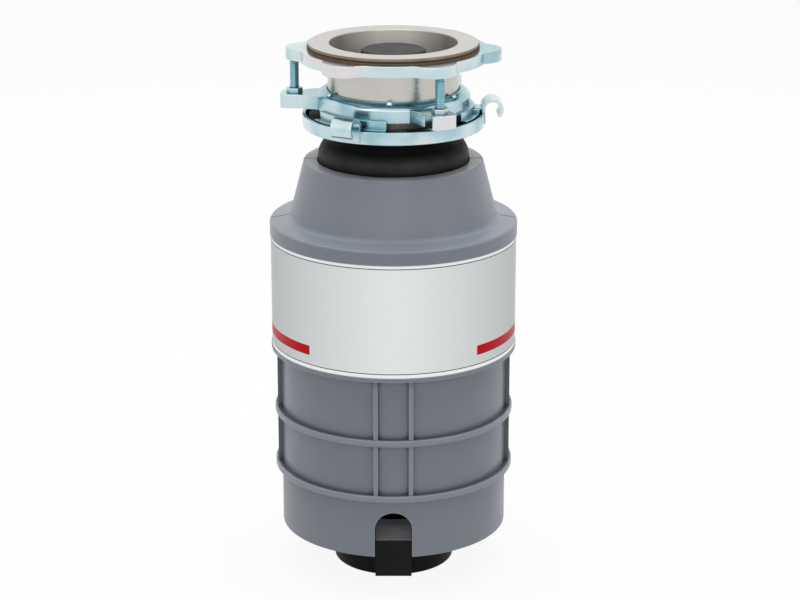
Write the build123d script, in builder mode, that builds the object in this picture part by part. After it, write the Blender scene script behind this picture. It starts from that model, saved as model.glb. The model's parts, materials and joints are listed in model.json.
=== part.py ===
from build123d import *
import math
import os

# A kitchen garbage disposal: a three-screw sink mount, a grinding chamber and a motor in a
# casing of two halves. Millimetres, +Z up, origin at the centre of the foot's underside.
# The front, with the label and the wiring notch, faces -Y.

# Clearances
run_gap = 0.05      # shaft in its bearing
slip_gap = 0.3      # faces that pass each other
fit_gap = 0.1       # parts that drop into a seat
press_gap = 0.02    # parts pressed or glued together

hex_sides = 6

# Casing
band_r = 83.4
band_z = 155.4
band_top_z = 244.5
band_edge = 1.8
casing_wall = 3.0
seam_gap = 0.4
skirt_z = 29.0
skirt_step = 6.4        # band to skirt, in radius
rib_reach = 4.5
rib_h = 5.0
rib_edge = 1.4
rib_levels = (72.0, 111.5)
upright_reach = 2.2
upright_w = 3.0
upright_spacing = 23.4
upright_sides = 4
shoulder_w = 13.4
shoulder_rise = 2.0
shoulder_fillet = 4.0
cone_top_z = 285.5
cone_rim = 9.0          # width of the cone's flat top
cone_edge = 1.2
collar_gap = 0.6        # round the rubber mount
collar_t = 3.0
notch_w = 25.0
notch_top_z = 61.0

# Label
label_t = 0.5
label_inset = 1.0
label_lift = 2.6        # above the band's foot
label_h = 76.9
label_reach = 118.0     # degrees each way from the front
front_angle = -90.0

# Casing screws
boss_inset = 11.0
boss_r = 5.0
boss_levels = (50.0, 140.0)
boss_front_depth = 16.0
boss_rear_depth = 24.0
casing_screw_r = 1.7
casing_screw_head_r = 3.4
casing_screw_head_h = 2.6

# Bottom cover, foot and wiring box
foot_r = 41.2
foot_wall = 3.0
foot_floor = 3.5
foot_edge = 2.0
plate_inset = 2.0
plate_t = 3.0
plate_groove = 1.2
vent_count = 11
vent_w = 4.0
vent_l = 15.0
vent_start = -60.0      # degrees
vent_range = 300.0      # degrees
box_w = 24.4
box_inset = 2.4         # box front behind the skirt
box_z = 14.4
box_h = 26.0
box_wall = 2.2
cover_sill = 1.8        # foot to the wiring cover
cover_screw_inset = 4.5
cover_screw_r = 1.6
cover_screw_head_r = 3.0
cover_screw_head_h = 1.4
cover_boss_r = 3.6
inlet_x = -20.0
inlet_r = 11.1

# Overload protector and reset button
reset_x = 20.0
reset_r = 4.8
reset_collar_r = 6.4
reset_collar_h = 1.2
reset_recess_r = 8.0
reset_recess = 1.2
reset_stem_r = 2.4
reset_stem_l = 9.0
reset_clear = 0.4
protector_lift = 5.0
protector_bore = 8.0
protector_l = 16.0
protector_w = 17.0
protector_h = 15.0
cradle_t = 1.6

# Rectifier
rectifier_y = 22.5
rectifier_l = 24.0
rectifier_w = 13.0
rectifier_h = 12.0
blade_l = 6.3
blade_t = 0.8
blade_h = 8.0

# Motor frame
floor_drop = 5.6        # chamber floor's underside below the band
bolt_count = 4
bolt_step = 5.0         # can to bolt circle
bolt_r = 2.4
bolt_head_r = 4.5
bolt_head_h = 3.5
bolt_bite = 6.5
frame_t = 5.0
frame_lip = 1.5
frame_ear_r = 5.5
frame_vent_count = 6
frame_vent_r = 6.0
frame_vent_circle_r = 42.0
frame_hub_r = 14.0
frame_hub_floor = 2.0
spigot_h = 4.0
spigot_w = 3.4
can_gap = 18.0          # can to casing
can_wall = 2.5
can_l = 83.0
magnet_t = 6.5
magnet_arc = 130.0      # degrees
magnet_middles = (90.0, 270.0)
magnet_overlap = 4.0

# Rotor
shaft_r = 8.0
lower_journal_r = 4.5
lower_bearing_r = 10.0
lower_bearing_h = 9.0
upper_journal_r = 7.5
upper_bearing_r = 13.0
upper_bearing_h = 12.0
end_play = 0.4
air_gap = 1.0
commutator_lift = 1.0
winding_gap = 2.3       # windings to the upper bearing
slot_count = 12
slot_w = 6.0
slot_depth = 10.0
slot_liner = 0.3
overhang_h = 5.0
overhang_inner_r = 24.0
overhang_edge = 1.5
commutator_r = 16.0
commutator_h = 11.0
commutator_bars = 12
bar_slit = 0.7
bar_slit_depth = 1.5

# Brush gear
brush_w = 8.0
brush_h = 6.0
brush_l = 11.0
brush_gap = 0.06
holder_wall = 2.0
holder_l = 18.0
holder_gap = 1.5        # holder to commutator
spring_roll_r = 2.8
spring_roll_bore = 1.6

# Drain chamber and outlet
floor_t = 8.0
chamber_step = 11.5     # joint flange to chamber
chamber_wall = 4.0
chamber_depth = 46.0
seat_flange_t = 4.0
joint_flange_gap = 1.4
joint_flange_t = 5.0
hub_r = 20.0
hub_rise = 12.0
seal_r = 14.0
seal_h = 9.0
seal_floor = 2.0
chamber_gasket_t = 1.0
chamber_screw_count = 6
chamber_screw_inset = 3.5
chamber_screw_r = 2.2
chamber_screw_head_r = 3.7
chamber_screw_head_h = 3.4
outlet_bore_r = 16.5
outlet_wall = 3.0
outlet_sill = 5.5
outlet_over = 4.6       # beyond the casing
outlet_flange_t = 7.0
outlet_flange_r = 21.5
outlet_hole_spacing = 56.0
outlet_hole_r = 2.5
outlet_hole_depth = 6.0
outlet_ear_r = 8.0
outlet_opening_gap = 0.7

# Grinding set
slinger_r = 25.0
slinger_t = 3.0
slinger_skirt = 6.0
slinger_lift = 2.0
turntable_gap = 3.5     # inside the chamber's radius
turntable_t = 3.5
turntable_lift = 2.0
turntable_hub_r = 16.0
turntable_hub_h = 24.0
drain_hole_count = 8
drain_hole_r = 2.5
drain_hole_inset = 9.0
spindle_r = 6.3
thread_r = 5.0
nut_af = 16.0
nut_h = 6.0
thread_over = 1.5
ring_gap = 2.0
ring_t = 3.2
ring_h = 27.0
ring_slot_count = 24
ring_slot_w = 4.5
ring_slot_h = 11.0
ring_slot_lift = 5.0
pin_inset = 24.0
pin_r = 4.0
pin_head_r = 7.0
pin_head_h = 2.0
lug_h = 9.0
lug_eye_r = 9.0
lug_head_r = 8.0
lug_reach = 23.5
lug_count = 2
tail_r = 6.0
tail_h = 1.5

# Hopper
hopper_wall = 3.6
waist_lift = 0.5        # above the casing's shoulder
waist_gap = 3.0         # inside the casing's cone
neck_step = 0.9         # sleeve to neck, in radius
neck_wall = 3.1
neck_gap = 0.4          # below the rubber mount
lip_reach = 2.8
lip_h = 4.0
lip_rise = 4.5          # lip top above the casing's collar
spigot_r = 11.1
spigot_root_r = 10.4
spigot_bore_r = 8.6
spigot_lift = 18.5      # above the casing's shoulder
spigot_step = 1.0       # hose seat beyond the cone's foot
spigot_l = 25.0
spigot_plug = 6.0       # bore's end inside the waist
spigot_opening_gap = 0.9

# Rubber mount and splash guard
cushion_step = 3.0      # neck's lip to the rubber's outside
cushion_taper = 1.6
cushion_tuck = 7.1      # below the casing's top
cushion_crease_step = 1.8
cushion_crease_rise = 10.5
cushion_bulge = 0.5
cushion_hollow = 0.3
cushion_throat_wall = 3.3
cushion_web = 16.0      # lip top to sleeve end
cushion_flange_w = 13.3
cushion_flange_lift = 4.7
cushion_flange_t = 5.3
guard_wall = 2.0
guard_h = 20.0
guard_web_lift = 6.0
guard_web_t = 2.0
guard_mouth_r = 13.0
guard_slits = 8
guard_slit_w = 1.0
guard_slit_l = 22.0

# Sink flange and gasket
rim_w = 12.8
rim_t = 2.0
rim_edge = 0.7
throat_edge = 0.8
sleeve_r = 43.7
sleeve_wall = 1.2
groove_depth = 0.5
fibre_over = 0.5        # beyond the rim
fibre_t = 1.8
sleeve_gap = 0.5
clamp_bore_gap = 1.8    # backup ring and gasket, loose on the sleeve

# Stopper
stopper_flange_t = 4.0
stopper_seal_t = 2.0
stopper_seal_w = 6.0
stopper_stem_r = 8.0
stopper_knob_r = 21.5
stopper_knob_h = 14.0
stopper_knob_edge = 2.0
stopper_drop = 4.8      # knob top below the rim

# Lock ring with rolled tabs
lock_gap = 1.6          # round the rubber flange
lock_wall = 2.0
lock_h = 9.0
lock_floor_gap = 0.6    # round the rubber's throat
lock_edge = 1.6
tab_count = 3
tab_angle = 2.3
tab_w = 15.0
tab_t = 2.2
tab_roll_r = 7.2
tab_roll_rise = 11.5    # roll centre above the ring's underside
tab_roll_end = -50.0    # degrees
tongue_t = 1.8
tongue_depth = 4.6
tongue_span = 12.0      # degrees

# Mounting ring with ears and ramps
ear_angle = 177.0
ear_w = 17.0
ear_root_w = 27.0
ear_neck_step = 10.8    # from the dome
ear_over = 9.2          # beyond the screw
ear_h = 9.0
ear_corner = 3.5
ear_lift = 0.6
sheet_t = 2.2
dome_step = 7.5         # sleeve to the dome's outside
dome_rise = 4.0
dome_skirt_lift = 0.2
dome_bulge = 1.2
dimple_count = 6
dimple_r = 2.4
dimple_h = 0.7
dimple_taper = 20.0     # degrees
ramp_gap = 1.1          # inside the lock ring
ramp_t = 2.0
ramp_web = 2.3
ramp_lead = 36.0        # degrees, before the tab's middle
ramp_trail = 23.0       # degrees, after it
ramp_tie = 2.0          # web's overlap with the dome
ramp_stop = 2.5         # degrees
ramp_stop_gap = 1.5     # degrees
snap_wire_r = 1.1
snap_gap_angle = 14.0

# Clamp screws, nuts and backup ring
screw_step = 14.6       # dome to screw circle
screw_r = 3.175
screw_lift = 0.3
screw_slot_w = 1.2
screw_slot_depth = 2.0
ear_nut_r = 5.4
ear_nut_h = 3.4
clamp_gap = 20.1
backup_h = 7.5
backup_step = 5.5       # beyond the rim
lobe_count = 6
lobe_r = 15.0
lobe_fillet = 5.0

# Levels worked out from the sizes above
plate_z = skirt_z + plate_inset
protector_z = foot_floor + protector_lift
floor_z = band_z - floor_drop
can_z = floor_z - can_l
frame_z = can_z - frame_t
lower_bearing_z = frame_z + frame_hub_floor
shaft_z = lower_bearing_z + end_play
journal_top_z = lower_bearing_z + lower_bearing_h + end_play
commutator_z = journal_top_z + commutator_lift
brush_z = commutator_z + (commutator_h - brush_h) / 2
core_z = commutator_z + commutator_h + overhang_h + slip_gap
upper_bearing_z = floor_z - upper_bearing_h
core_l = upper_bearing_z - winding_gap - overhang_h - core_z
chamber_z = floor_z + floor_t
seal_z = chamber_z + seal_floor
joint_z = chamber_z + chamber_depth
hopper_z = joint_z + chamber_gasket_t
ledge_z = band_z + casing_wall
shoulder_z = band_top_z + shoulder_rise
label_z = band_z + label_lift
label_top_z = label_z + label_h
outlet_z = chamber_z + outlet_sill + outlet_bore_r
slinger_z = chamber_z + hub_rise + slinger_lift
turntable_z = joint_z + turntable_lift
turntable_top_z = turntable_z + turntable_t
spindle_z = turntable_z - turntable_hub_h
shaft_top_z = turntable_top_z + nut_h + thread_over
lug_z = turntable_top_z + slip_gap
ring_top_z = joint_z + ring_h
hopper_step_z = ring_top_z + fit_gap
hopper_taper_z = hopper_step_z + hopper_wall
hopper_waist_z = shoulder_z + waist_lift
spigot_z = shoulder_z + spigot_lift
cushion_skirt_z = cone_top_z - cushion_tuck
neck_z = cushion_skirt_z - neck_gap
lip_top_z = cone_top_z + lip_rise
lip_z = lip_top_z - lip_h
sleeve_end_z = lip_top_z + cushion_web
cushion_flange_z = sleeve_end_z + cushion_flange_lift
cushion_top_z = cushion_flange_z + cushion_flange_t
guard_top_z = sleeve_end_z + guard_h
lock_z = cushion_flange_z - slip_gap - lock_wall
ramp_z = cushion_top_z + slip_gap
tongue_z = ramp_z + ramp_t + slip_gap
ear_z = tongue_z + tongue_t + ear_lift
ear_top_z = ear_z + ear_h
dome_top_z = ear_top_z + dome_rise
snap_z = dome_top_z - sheet_t - snap_wire_r - fit_gap
backup_z = ear_top_z + ear_nut_h + clamp_gap
backup_top_z = backup_z + backup_h
rim_z = backup_top_z + fibre_t
rim_top_z = rim_z + rim_t

# Radii worked out from the sizes above
skirt_r = band_r - skirt_step
rib_r = skirt_r + rib_reach
upright_r = skirt_r + upright_reach
cone_foot_r = band_r - shoulder_w
neck_r = sleeve_r + neck_step
lip_r = neck_r + lip_reach
cushion_r = lip_r + cushion_step
cushion_skirt_r = cushion_r - cushion_taper
cushion_crease_r = sleeve_r + cushion_crease_step
cushion_throat_r = sleeve_r + cushion_throat_wall
cushion_flange_r = sleeve_r + cushion_flange_w
collar_r = cushion_r + collar_gap
cone_top_r = collar_r + cone_rim
skirt_inner_r = skirt_r - casing_wall
band_inner_r = band_r - casing_wall
boss_x = skirt_r - boss_inset
box_front = skirt_r - box_inset
vent_r = (foot_r + skirt_inner_r) / 2
label_seat_r = band_r - label_inset
plate_r = skirt_inner_r + plate_groove - fit_gap
can_r = skirt_inner_r - can_gap
bolt_circle_r = can_r + bolt_step
can_bore_r = can_r - can_wall
magnet_r = can_bore_r - press_gap
core_r = magnet_r - magnet_t - air_gap
joint_flange_r = band_inner_r - joint_flange_gap
chamber_screw_circle_r = joint_flange_r - chamber_screw_inset
chamber_r = joint_flange_r - chamber_step
chamber_outer_r = chamber_r + chamber_wall
outlet_reach = band_r + outlet_over
seat_flange_r = band_inner_r - slip_gap
turntable_r = chamber_r - turntable_gap
drain_hole_circle_r = turntable_r - drain_hole_inset
pin_circle_r = turntable_r - pin_inset
ring_inner_r = turntable_r + ring_gap
ring_outer_r = ring_inner_r + ring_t
hopper_bore_r = ring_outer_r + fit_gap
hopper_outer_r = hopper_bore_r + hopper_wall
hopper_waist_r = cone_foot_r - casing_wall - waist_gap
spigot_seat_y = cone_foot_r + spigot_step
spigot_end_y = spigot_seat_y + spigot_l
spigot_plug_y = hopper_waist_r - spigot_plug
neck_bore_r = neck_r - neck_wall
throat_r = sleeve_r - sleeve_wall
plug_r = throat_r - 2 * slip_gap
clamp_bore_r = sleeve_r + clamp_bore_gap
rim_r = sleeve_r + rim_w
fibre_r = rim_r + fibre_over
backup_r = rim_r + backup_step
lobe_circle_r = rim_r
dome_r = sleeve_r + dome_step
dome_inner_r = sleeve_r + sleeve_gap
dome_wall_r = dome_r - sheet_t
lock_floor_r = cushion_throat_r + lock_floor_gap
lock_inner_r = cushion_flange_r + lock_gap
lock_r = lock_inner_r + lock_wall
ramp_r = lock_inner_r - ramp_gap
ramp_web_r = dome_r + ramp_web
screw_circle_r = dome_r + screw_step
ear_neck_r = dome_r + ear_neck_step
ear_end_r = screw_circle_r + ear_over
tab_roll_x = lock_inner_r + tab_roll_r
ramp_stop_start = tab_angle - tongue_span / 2 - ramp_stop_gap - ramp_stop
screw_count = tab_count


def corner(outline, x, y):
    """The outline's corner nearest to a point."""
    return outline.vertices().sort_by_distance((x, y))[0]


def section(*points):
    """A closed outline of straight lines in the XZ plane, to be turned about Z."""
    with BuildSketch(Plane.XZ) as outline:
        with BuildLine():
            Polyline(*points, close=True)
        make_face()
    return outline.sketch


def sector(level, inner_r, outer_r, start, span):
    """A ring's sector at a level, from a start angle over a span."""
    with BuildSketch(Plane.XY.offset(level)) as outline:
        with BuildLine():
            inside = CenterArc((0, 0), inner_r, start, span)
            outside = CenterArc((0, 0), outer_r, start, span)
            Line(inside @ 0, outside @ 0)
            Line(inside @ 1, outside @ 1)
        make_face()
    return outline.sketch


def casing_section():
    """Wall of the casing: skirt, label band, shoulder, cone and collar."""
    with BuildSketch(Plane.XZ) as outline:
        with BuildLine():
            Polyline(
                (skirt_r, skirt_z),
                (skirt_r, band_z),
                (band_r, band_z),
                (band_r, label_z),
                (label_seat_r, label_z),
                (label_seat_r, label_top_z),
                (band_r, label_top_z),
                (band_r, band_top_z),
                (cone_foot_r, shoulder_z),
                (cone_top_r, cone_top_z),
                (collar_r, cone_top_z),
                (collar_r, cone_top_z - collar_t),
                (cone_top_r - casing_wall, cone_top_z - collar_t),
                (cone_foot_r - casing_wall, shoulder_z - casing_wall),
                (band_inner_r, band_top_z - casing_wall),
                (band_inner_r, ledge_z),
                (skirt_inner_r, ledge_z),
                (skirt_inner_r, skirt_z),
                close=True,
            )
        make_face()
        fillet(corner(outline, band_r, band_top_z), band_edge)
        fillet(corner(outline, cone_foot_r, shoulder_z), shoulder_fillet)
        fillet(corner(outline, cone_top_r, cone_top_z), cone_edge)
    return outline.sketch


def casing_half(boss_depth, seam, keep):
    """One half of the casing, with its ribs, uprights and screw bosses."""
    web_l = skirt_r - boss_x
    with BuildPart() as half:
        # Screw bosses with webs, cut back to the inside of the wall
        with BuildSketch(Plane.XZ):
            for side in (-1, 1):
                for level in boss_levels:
                    with Locations((side * boss_x, level)):
                        Circle(boss_r)
                    with Locations((side * (boss_x + web_l / 2), level)):
                        Rectangle(web_l, 2 * boss_r)
        extrude(amount=boss_depth)
        with BuildSketch(Plane.XY.offset(skirt_z)):
            Circle(skirt_r - casing_wall / 2)
        extrude(amount=band_z - skirt_z, mode=Mode.INTERSECT)
        # Wall
        revolve(casing_section(), axis=Axis.Z)
        # Ring ribs with rounded edges
        for level in rib_levels:
            with BuildSketch(Plane.XY.offset(level - rib_h / 2)):
                Circle(rib_r)
                Circle(skirt_r - casing_wall / 2, mode=Mode.SUBTRACT)
            extrude(amount=rib_h)
        rib_edges = [edge for edge in half.edges().filter_by(GeomType.CIRCLE)
                     if abs(edge.radius - rib_r) < fit_gap]
        fillet(rib_edges, rib_edge)
        # Pairs of uprights between the lower rib and the band
        upright_root_r = skirt_r - casing_wall / 2
        with BuildSketch(Plane.XY.offset(rib_levels[0])):
            with PolarLocations(0, upright_sides):
                for side in (-1, 1):
                    with Locations(((upright_root_r + upright_r) / 2, side * upright_spacing / 2)):
                        Rectangle(upright_r - upright_root_r, upright_w)
        extrude(amount=band_z + casing_wall / 2 - rib_levels[0])
        # Groove for the bottom cover's plate
        with BuildSketch(Plane.XY.offset(plate_z - fit_gap)):
            Circle(skirt_inner_r + plate_groove)
        extrude(amount=plate_t + 2 * fit_gap, mode=Mode.SUBTRACT)
        split(bisect_by=Plane.XZ.offset(seam), keep=keep)
    return half.part


def boss_circles(plane, radius):
    """One circle at each casing screw."""
    with BuildSketch(plane) as circles:
        for side in (-1, 1):
            for level in boss_levels:
                with Locations((side * boss_x, level)):
                    Circle(radius)
    return circles.sketch


def outlet_outline(plane, grow):
    """Outline of the outlet's two-eared flange, grown all round."""
    with BuildSketch(plane) as outline:
        with Locations((0, outlet_z)):
            Circle(outlet_flange_r + grow)
        for side in (-1, 1):
            with Locations((side * outlet_hole_spacing / 2, outlet_z)):
                Circle(outlet_ear_r + grow)
        make_hull()
    return outline.sketch


# Front half of the casing, with the arched notch for the wiring box
with BuildPart() as front_casing:
    add(casing_half(boss_front_depth, seam_gap / 2, Keep.TOP))
    extrude(
        boss_circles(Plane.XZ, casing_screw_r + press_gap),
        amount=boss_front_depth - casing_wall,
        mode=Mode.SUBTRACT,
    )
    arch_z = notch_top_z - notch_w / 2
    with BuildSketch(Plane.XZ.offset(foot_r)):
        with Locations((0, arch_z)):
            Circle(notch_w / 2)
        with Locations((0, arch_z / 2)):
            Rectangle(notch_w, arch_z)
    extrude(amount=rib_r, mode=Mode.SUBTRACT)

# Rear half, open for the outlet and the dishwasher spigot
boss_rear_reach = math.sqrt(skirt_r**2 - boss_x**2)
with BuildPart() as rear_casing:
    add(casing_half(-boss_rear_reach, -seam_gap / 2, Keep.BOTTOM))
    extrude(
        boss_circles(Plane.XZ, casing_screw_r + slip_gap),
        amount=-boss_rear_reach,
        mode=Mode.SUBTRACT,
    )
    extrude(
        boss_circles(Plane.XZ.offset(-boss_rear_depth), casing_screw_head_r + slip_gap),
        amount=-skirt_r,
        mode=Mode.SUBTRACT,
    )
    extrude(
        outlet_outline(Plane.XZ.offset(-foot_r), outlet_opening_gap),
        amount=-band_r,
        mode=Mode.SUBTRACT,
    )
    with BuildSketch(Plane.XZ.offset(-foot_r)):
        with Locations((0, spigot_z)):
            Circle(spigot_r + spigot_opening_gap)
    extrude(amount=-band_r, mode=Mode.SUBTRACT)

# Screws that pull the rear half to the front half
casing_screw_l = boss_rear_depth + boss_front_depth - casing_wall - slip_gap
with BuildPart() as casing_screws:
    extrude(boss_circles(Plane.XZ.offset(-boss_rear_depth), casing_screw_r), amount=casing_screw_l)
    extrude(
        boss_circles(Plane.XZ.offset(-boss_rear_depth), casing_screw_head_r),
        amount=-casing_screw_head_h,
    )

# Label round the front and sides of the band
with BuildPart() as label_band:
    extrude(
        sector(
            label_z + fit_gap,
            label_seat_r + press_gap,
            label_seat_r + press_gap + label_t,
            front_angle - label_reach,
            2 * label_reach,
        ),
        amount=label_h - 2 * fit_gap,
    )

# Bottom cover: foot cup, vented plate and radial wiring box
box_inner_w = box_w - 2 * box_wall
box_top_z = box_z + box_h
box_cavity_front = box_front - box_wall
cover_opening_y = -foot_r - cover_sill
cover_screw_y = cover_opening_y - cover_screw_inset
with BuildPart() as bottom_cover:
    with BuildSketch():
        Circle(foot_r)
    extrude(amount=plate_z + plate_t)
    fillet(bottom_cover.faces().sort_by(Axis.Z)[0].edges(), foot_edge)
    with BuildSketch(Plane.XY.offset(plate_z)):
        Circle(plate_r)
    extrude(amount=plate_t)
    with BuildSketch(Plane.XY.offset(box_z)):
        with Locations((0, -box_front / 2)):
            Rectangle(box_w, box_front)
    extrude(amount=box_h)
    # Hollows of the cup and of the box, joined by a passage
    with BuildSketch(Plane.XY.offset(foot_floor)):
        Circle(foot_r - foot_wall)
    extrude(amount=box_top_z, mode=Mode.SUBTRACT)
    with BuildSketch(Plane.XY.offset(box_z + box_wall)):
        with Locations((0, -box_cavity_front / 2)):
            Rectangle(box_inner_w, box_cavity_front)
    extrude(amount=box_h - 2 * box_wall, mode=Mode.SUBTRACT)
    with BuildSketch(Plane.XY.offset(box_z)):
        with Locations((0, (cover_opening_y - box_cavity_front) / 2)):
            Rectangle(box_inner_w, box_cavity_front + cover_opening_y)
    extrude(amount=box_wall, mode=Mode.SUBTRACT)
    # Boss for the wiring cover's screw
    with BuildSketch(Plane.XY.offset(box_z + box_wall)):
        with Locations((0, cover_screw_y)):
            Circle(cover_boss_r)
            Circle(cover_screw_r + press_gap, mode=Mode.SUBTRACT)
    extrude(amount=box_h - 2 * box_wall)
    # Cradle walls of the overload protector
    with BuildSketch(Plane.XY.offset(foot_floor)):
        for side in (-1, 1):
            with Locations((reset_x, side * (protector_w - cradle_t) / 2)):
                Rectangle(protector_l, cradle_t)
    extrude(amount=protector_lift)
    # Cable inlet, reset button's hole and its recess
    with BuildSketch():
        with Locations((inlet_x, 0)):
            Circle(inlet_r)
        with Locations((reset_x, 0)):
            Circle(reset_r + slip_gap)
    extrude(amount=foot_floor, mode=Mode.SUBTRACT)
    with BuildSketch():
        with Locations((reset_x, 0)):
            Circle(reset_recess_r)
    extrude(amount=reset_recess, mode=Mode.SUBTRACT)
    # Cooling slots in the plate, left out over the wiring box
    with BuildSketch(Plane.XY.offset(plate_z)):
        with PolarLocations(vent_r, vent_count, vent_start, vent_range, endpoint=True):
            SlotOverall(vent_l, vent_w)
    extrude(amount=plate_t, mode=Mode.SUBTRACT)

# Lid under the wiring box and its screw
with BuildPart() as wiring_cover:
    with BuildSketch(Plane.XY.offset(box_z)):
        with Locations((0, (cover_opening_y - box_cavity_front) / 2)):
            Rectangle(box_inner_w - 2 * fit_gap, box_cavity_front + cover_opening_y - 2 * fit_gap)
        with Locations((0, cover_screw_y)):
            Circle(cover_screw_r + fit_gap, mode=Mode.SUBTRACT)
    extrude(amount=box_wall)

with BuildPart() as wiring_cover_screw:
    with BuildSketch(Plane.XY.offset(box_z - cover_screw_head_h)):
        with Locations((0, cover_screw_y)):
            Circle(cover_screw_head_r)
    extrude(amount=cover_screw_head_h)
    with BuildSketch(Plane.XY.offset(box_z)):
        with Locations((0, cover_screw_y)):
            Circle(cover_screw_r)
    extrude(amount=box_h / 2)

# Reset button, its collar held above the floor of the foot
with BuildPart() as reset_button:
    with BuildSketch(Plane.XY.offset(reset_clear)):
        with Locations((reset_x, 0)):
            Circle(reset_r)
    extrude(amount=foot_floor + reset_collar_h - reset_clear)
    with BuildSketch(Plane.XY.offset(foot_floor)):
        with Locations((reset_x, 0)):
            Circle(reset_collar_r)
    extrude(amount=reset_collar_h)
    with BuildSketch(Plane.XY.offset(foot_floor)):
        with Locations((reset_x, 0)):
            Circle(reset_stem_r)
    extrude(amount=reset_stem_l)

# Overload protector over the button, with two blade terminals
with BuildPart() as overload_protector:
    with BuildSketch(Plane.XY.offset(protector_z)):
        with Locations((reset_x, 0)):
            Rectangle(protector_l, protector_w)
    extrude(amount=protector_h)
    with BuildSketch(Plane.XY.offset(protector_z)):
        with Locations((reset_x, 0)):
            Circle(reset_stem_r + slip_gap)
    extrude(amount=protector_bore, mode=Mode.SUBTRACT)
    with BuildSketch(Plane.XY.offset(protector_z + protector_h)):
        for side in (-1, 1):
            with Locations((reset_x, side * protector_w / 4)):
                Rectangle(blade_l, blade_t)
    extrude(amount=blade_h)

# Rectifier on the floor of the foot, with four blade terminals
with BuildPart() as rectifier_block:
    with BuildSketch(Plane.XY.offset(foot_floor)):
        with Locations((0, rectifier_y)):
            RectangleRounded(rectifier_l, rectifier_w, blade_t)
    extrude(amount=rectifier_h)
    with BuildSketch(Plane.XY.offset(foot_floor + rectifier_h)):
        with Locations((0, rectifier_y)):
            with GridLocations(rectifier_l / 2, rectifier_w / 2, 2, 2):
                Rectangle(blade_l, blade_t)
    extrude(amount=blade_h)

# Lower end frame: vented disc with bolt ears, can spigot and bearing hub
bolt_start = 180 / bolt_count
with BuildPart() as lower_end_frame:
    with BuildSketch(Plane.XY.offset(frame_z)):
        Circle(can_r + frame_lip)
        with PolarLocations(bolt_circle_r, bolt_count, start_angle=bolt_start):
            Circle(frame_ear_r)
            Circle(bolt_r + fit_gap, mode=Mode.SUBTRACT)
        with PolarLocations(frame_vent_circle_r, frame_vent_count):
            Circle(frame_vent_r, mode=Mode.SUBTRACT)
    extrude(amount=frame_t)
    with BuildSketch(Plane.XY.offset(can_z)):
        Circle(can_bore_r - fit_gap)
        Circle(can_bore_r - fit_gap - spigot_w, mode=Mode.SUBTRACT)
    extrude(amount=spigot_h)
    with BuildSketch(Plane.XY.offset(frame_z)):
        Circle(frame_hub_r)
    extrude(amount=frame_hub_floor + lower_bearing_h)
    with BuildSketch(Plane.XY.offset(lower_bearing_z)):
        Circle(lower_bearing_r + press_gap)
    extrude(amount=lower_bearing_h, mode=Mode.SUBTRACT)

with BuildPart() as lower_bearing:
    with BuildSketch(Plane.XY.offset(lower_bearing_z)):
        Circle(lower_bearing_r)
        Circle(lower_journal_r + run_gap, mode=Mode.SUBTRACT)
    extrude(amount=lower_bearing_h)

with BuildPart() as upper_bearing:
    with BuildSketch(Plane.XY.offset(upper_bearing_z)):
        Circle(upper_bearing_r)
        Circle(upper_journal_r + run_gap, mode=Mode.SUBTRACT)
    extrude(amount=upper_bearing_h)

# Motor can and its two arc magnets
with BuildPart() as motor_can:
    with BuildSketch(Plane.XY.offset(can_z)):
        Circle(can_r)
        Circle(can_bore_r, mode=Mode.SUBTRACT)
    extrude(amount=can_l)

with BuildPart() as field_magnets:
    for middle in magnet_middles:
        extrude(
            sector(
                core_z - magnet_overlap,
                magnet_r - magnet_t,
                magnet_r,
                middle - magnet_arc / 2,
                magnet_arc,
            ),
            amount=core_l + 2 * magnet_overlap,
        )

# Bolts that clamp the end frame and the can to the drain chamber
with BuildPart() as through_bolts:
    with BuildSketch(Plane.XY.offset(frame_z - bolt_head_h)):
        with PolarLocations(bolt_circle_r, bolt_count, start_angle=bolt_start):
            Circle(bolt_head_r)
    extrude(amount=bolt_head_h)
    with BuildSketch(Plane.XY.offset(frame_z)):
        with PolarLocations(bolt_circle_r, bolt_count, start_angle=bolt_start):
            Circle(bolt_r)
    extrude(amount=floor_z + bolt_bite - frame_z)

# Brush holders on the end frame, brushes and the coiled strips that press them
holder_x = commutator_r + holder_gap + holder_l / 2
holder_top_z = brush_z + brush_h + holder_wall
brush_front = commutator_r + brush_gap
with BuildPart() as brush_holders:
    with BuildSketch(Plane.XY.offset(can_z)):
        for side in (-1, 1):
            with Locations((side * holder_x, 0)):
                Rectangle(holder_l, brush_w + 2 * holder_wall)
    extrude(amount=holder_top_z - can_z)
    with BuildSketch(Plane.XY.offset(brush_z - fit_gap)):
        for side in (-1, 1):
            with Locations((side * holder_x, 0)):
                Rectangle(holder_l, brush_w + 2 * fit_gap)
    extrude(amount=brush_h + 2 * fit_gap, mode=Mode.SUBTRACT)

with BuildPart() as brushes:
    with BuildSketch(Plane.XY.offset(brush_z)):
        Rectangle(2 * (brush_front + brush_l), brush_w)
        Circle(brush_front, mode=Mode.SUBTRACT)
    extrude(amount=brush_h)

with BuildPart() as brush_springs:
    spring_x = brush_front + brush_l + spring_roll_r + press_gap
    with BuildSketch(Plane.XZ.offset(-brush_w / 2)):
        for side in (-1, 1):
            with Locations((side * spring_x, brush_z + brush_h / 2)):
                Circle(spring_roll_r)
                Circle(spring_roll_bore, mode=Mode.SUBTRACT)
    extrude(amount=brush_w)

# Rotor: shaft, slotted core, windings and commutator
with BuildPart() as motor_shaft:
    revolve(
        section(
            (0, shaft_z),
            (lower_journal_r, shaft_z),
            (lower_journal_r, journal_top_z),
            (shaft_r, journal_top_z),
            (shaft_r, upper_bearing_z - end_play),
            (upper_journal_r, upper_bearing_z - end_play),
            (upper_journal_r, spindle_z),
            (spindle_r, spindle_z),
            (spindle_r, turntable_top_z),
            (thread_r, turntable_top_z),
            (thread_r, shaft_top_z),
            (0, shaft_top_z),
        ),
        axis=Axis.Z,
    )

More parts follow.
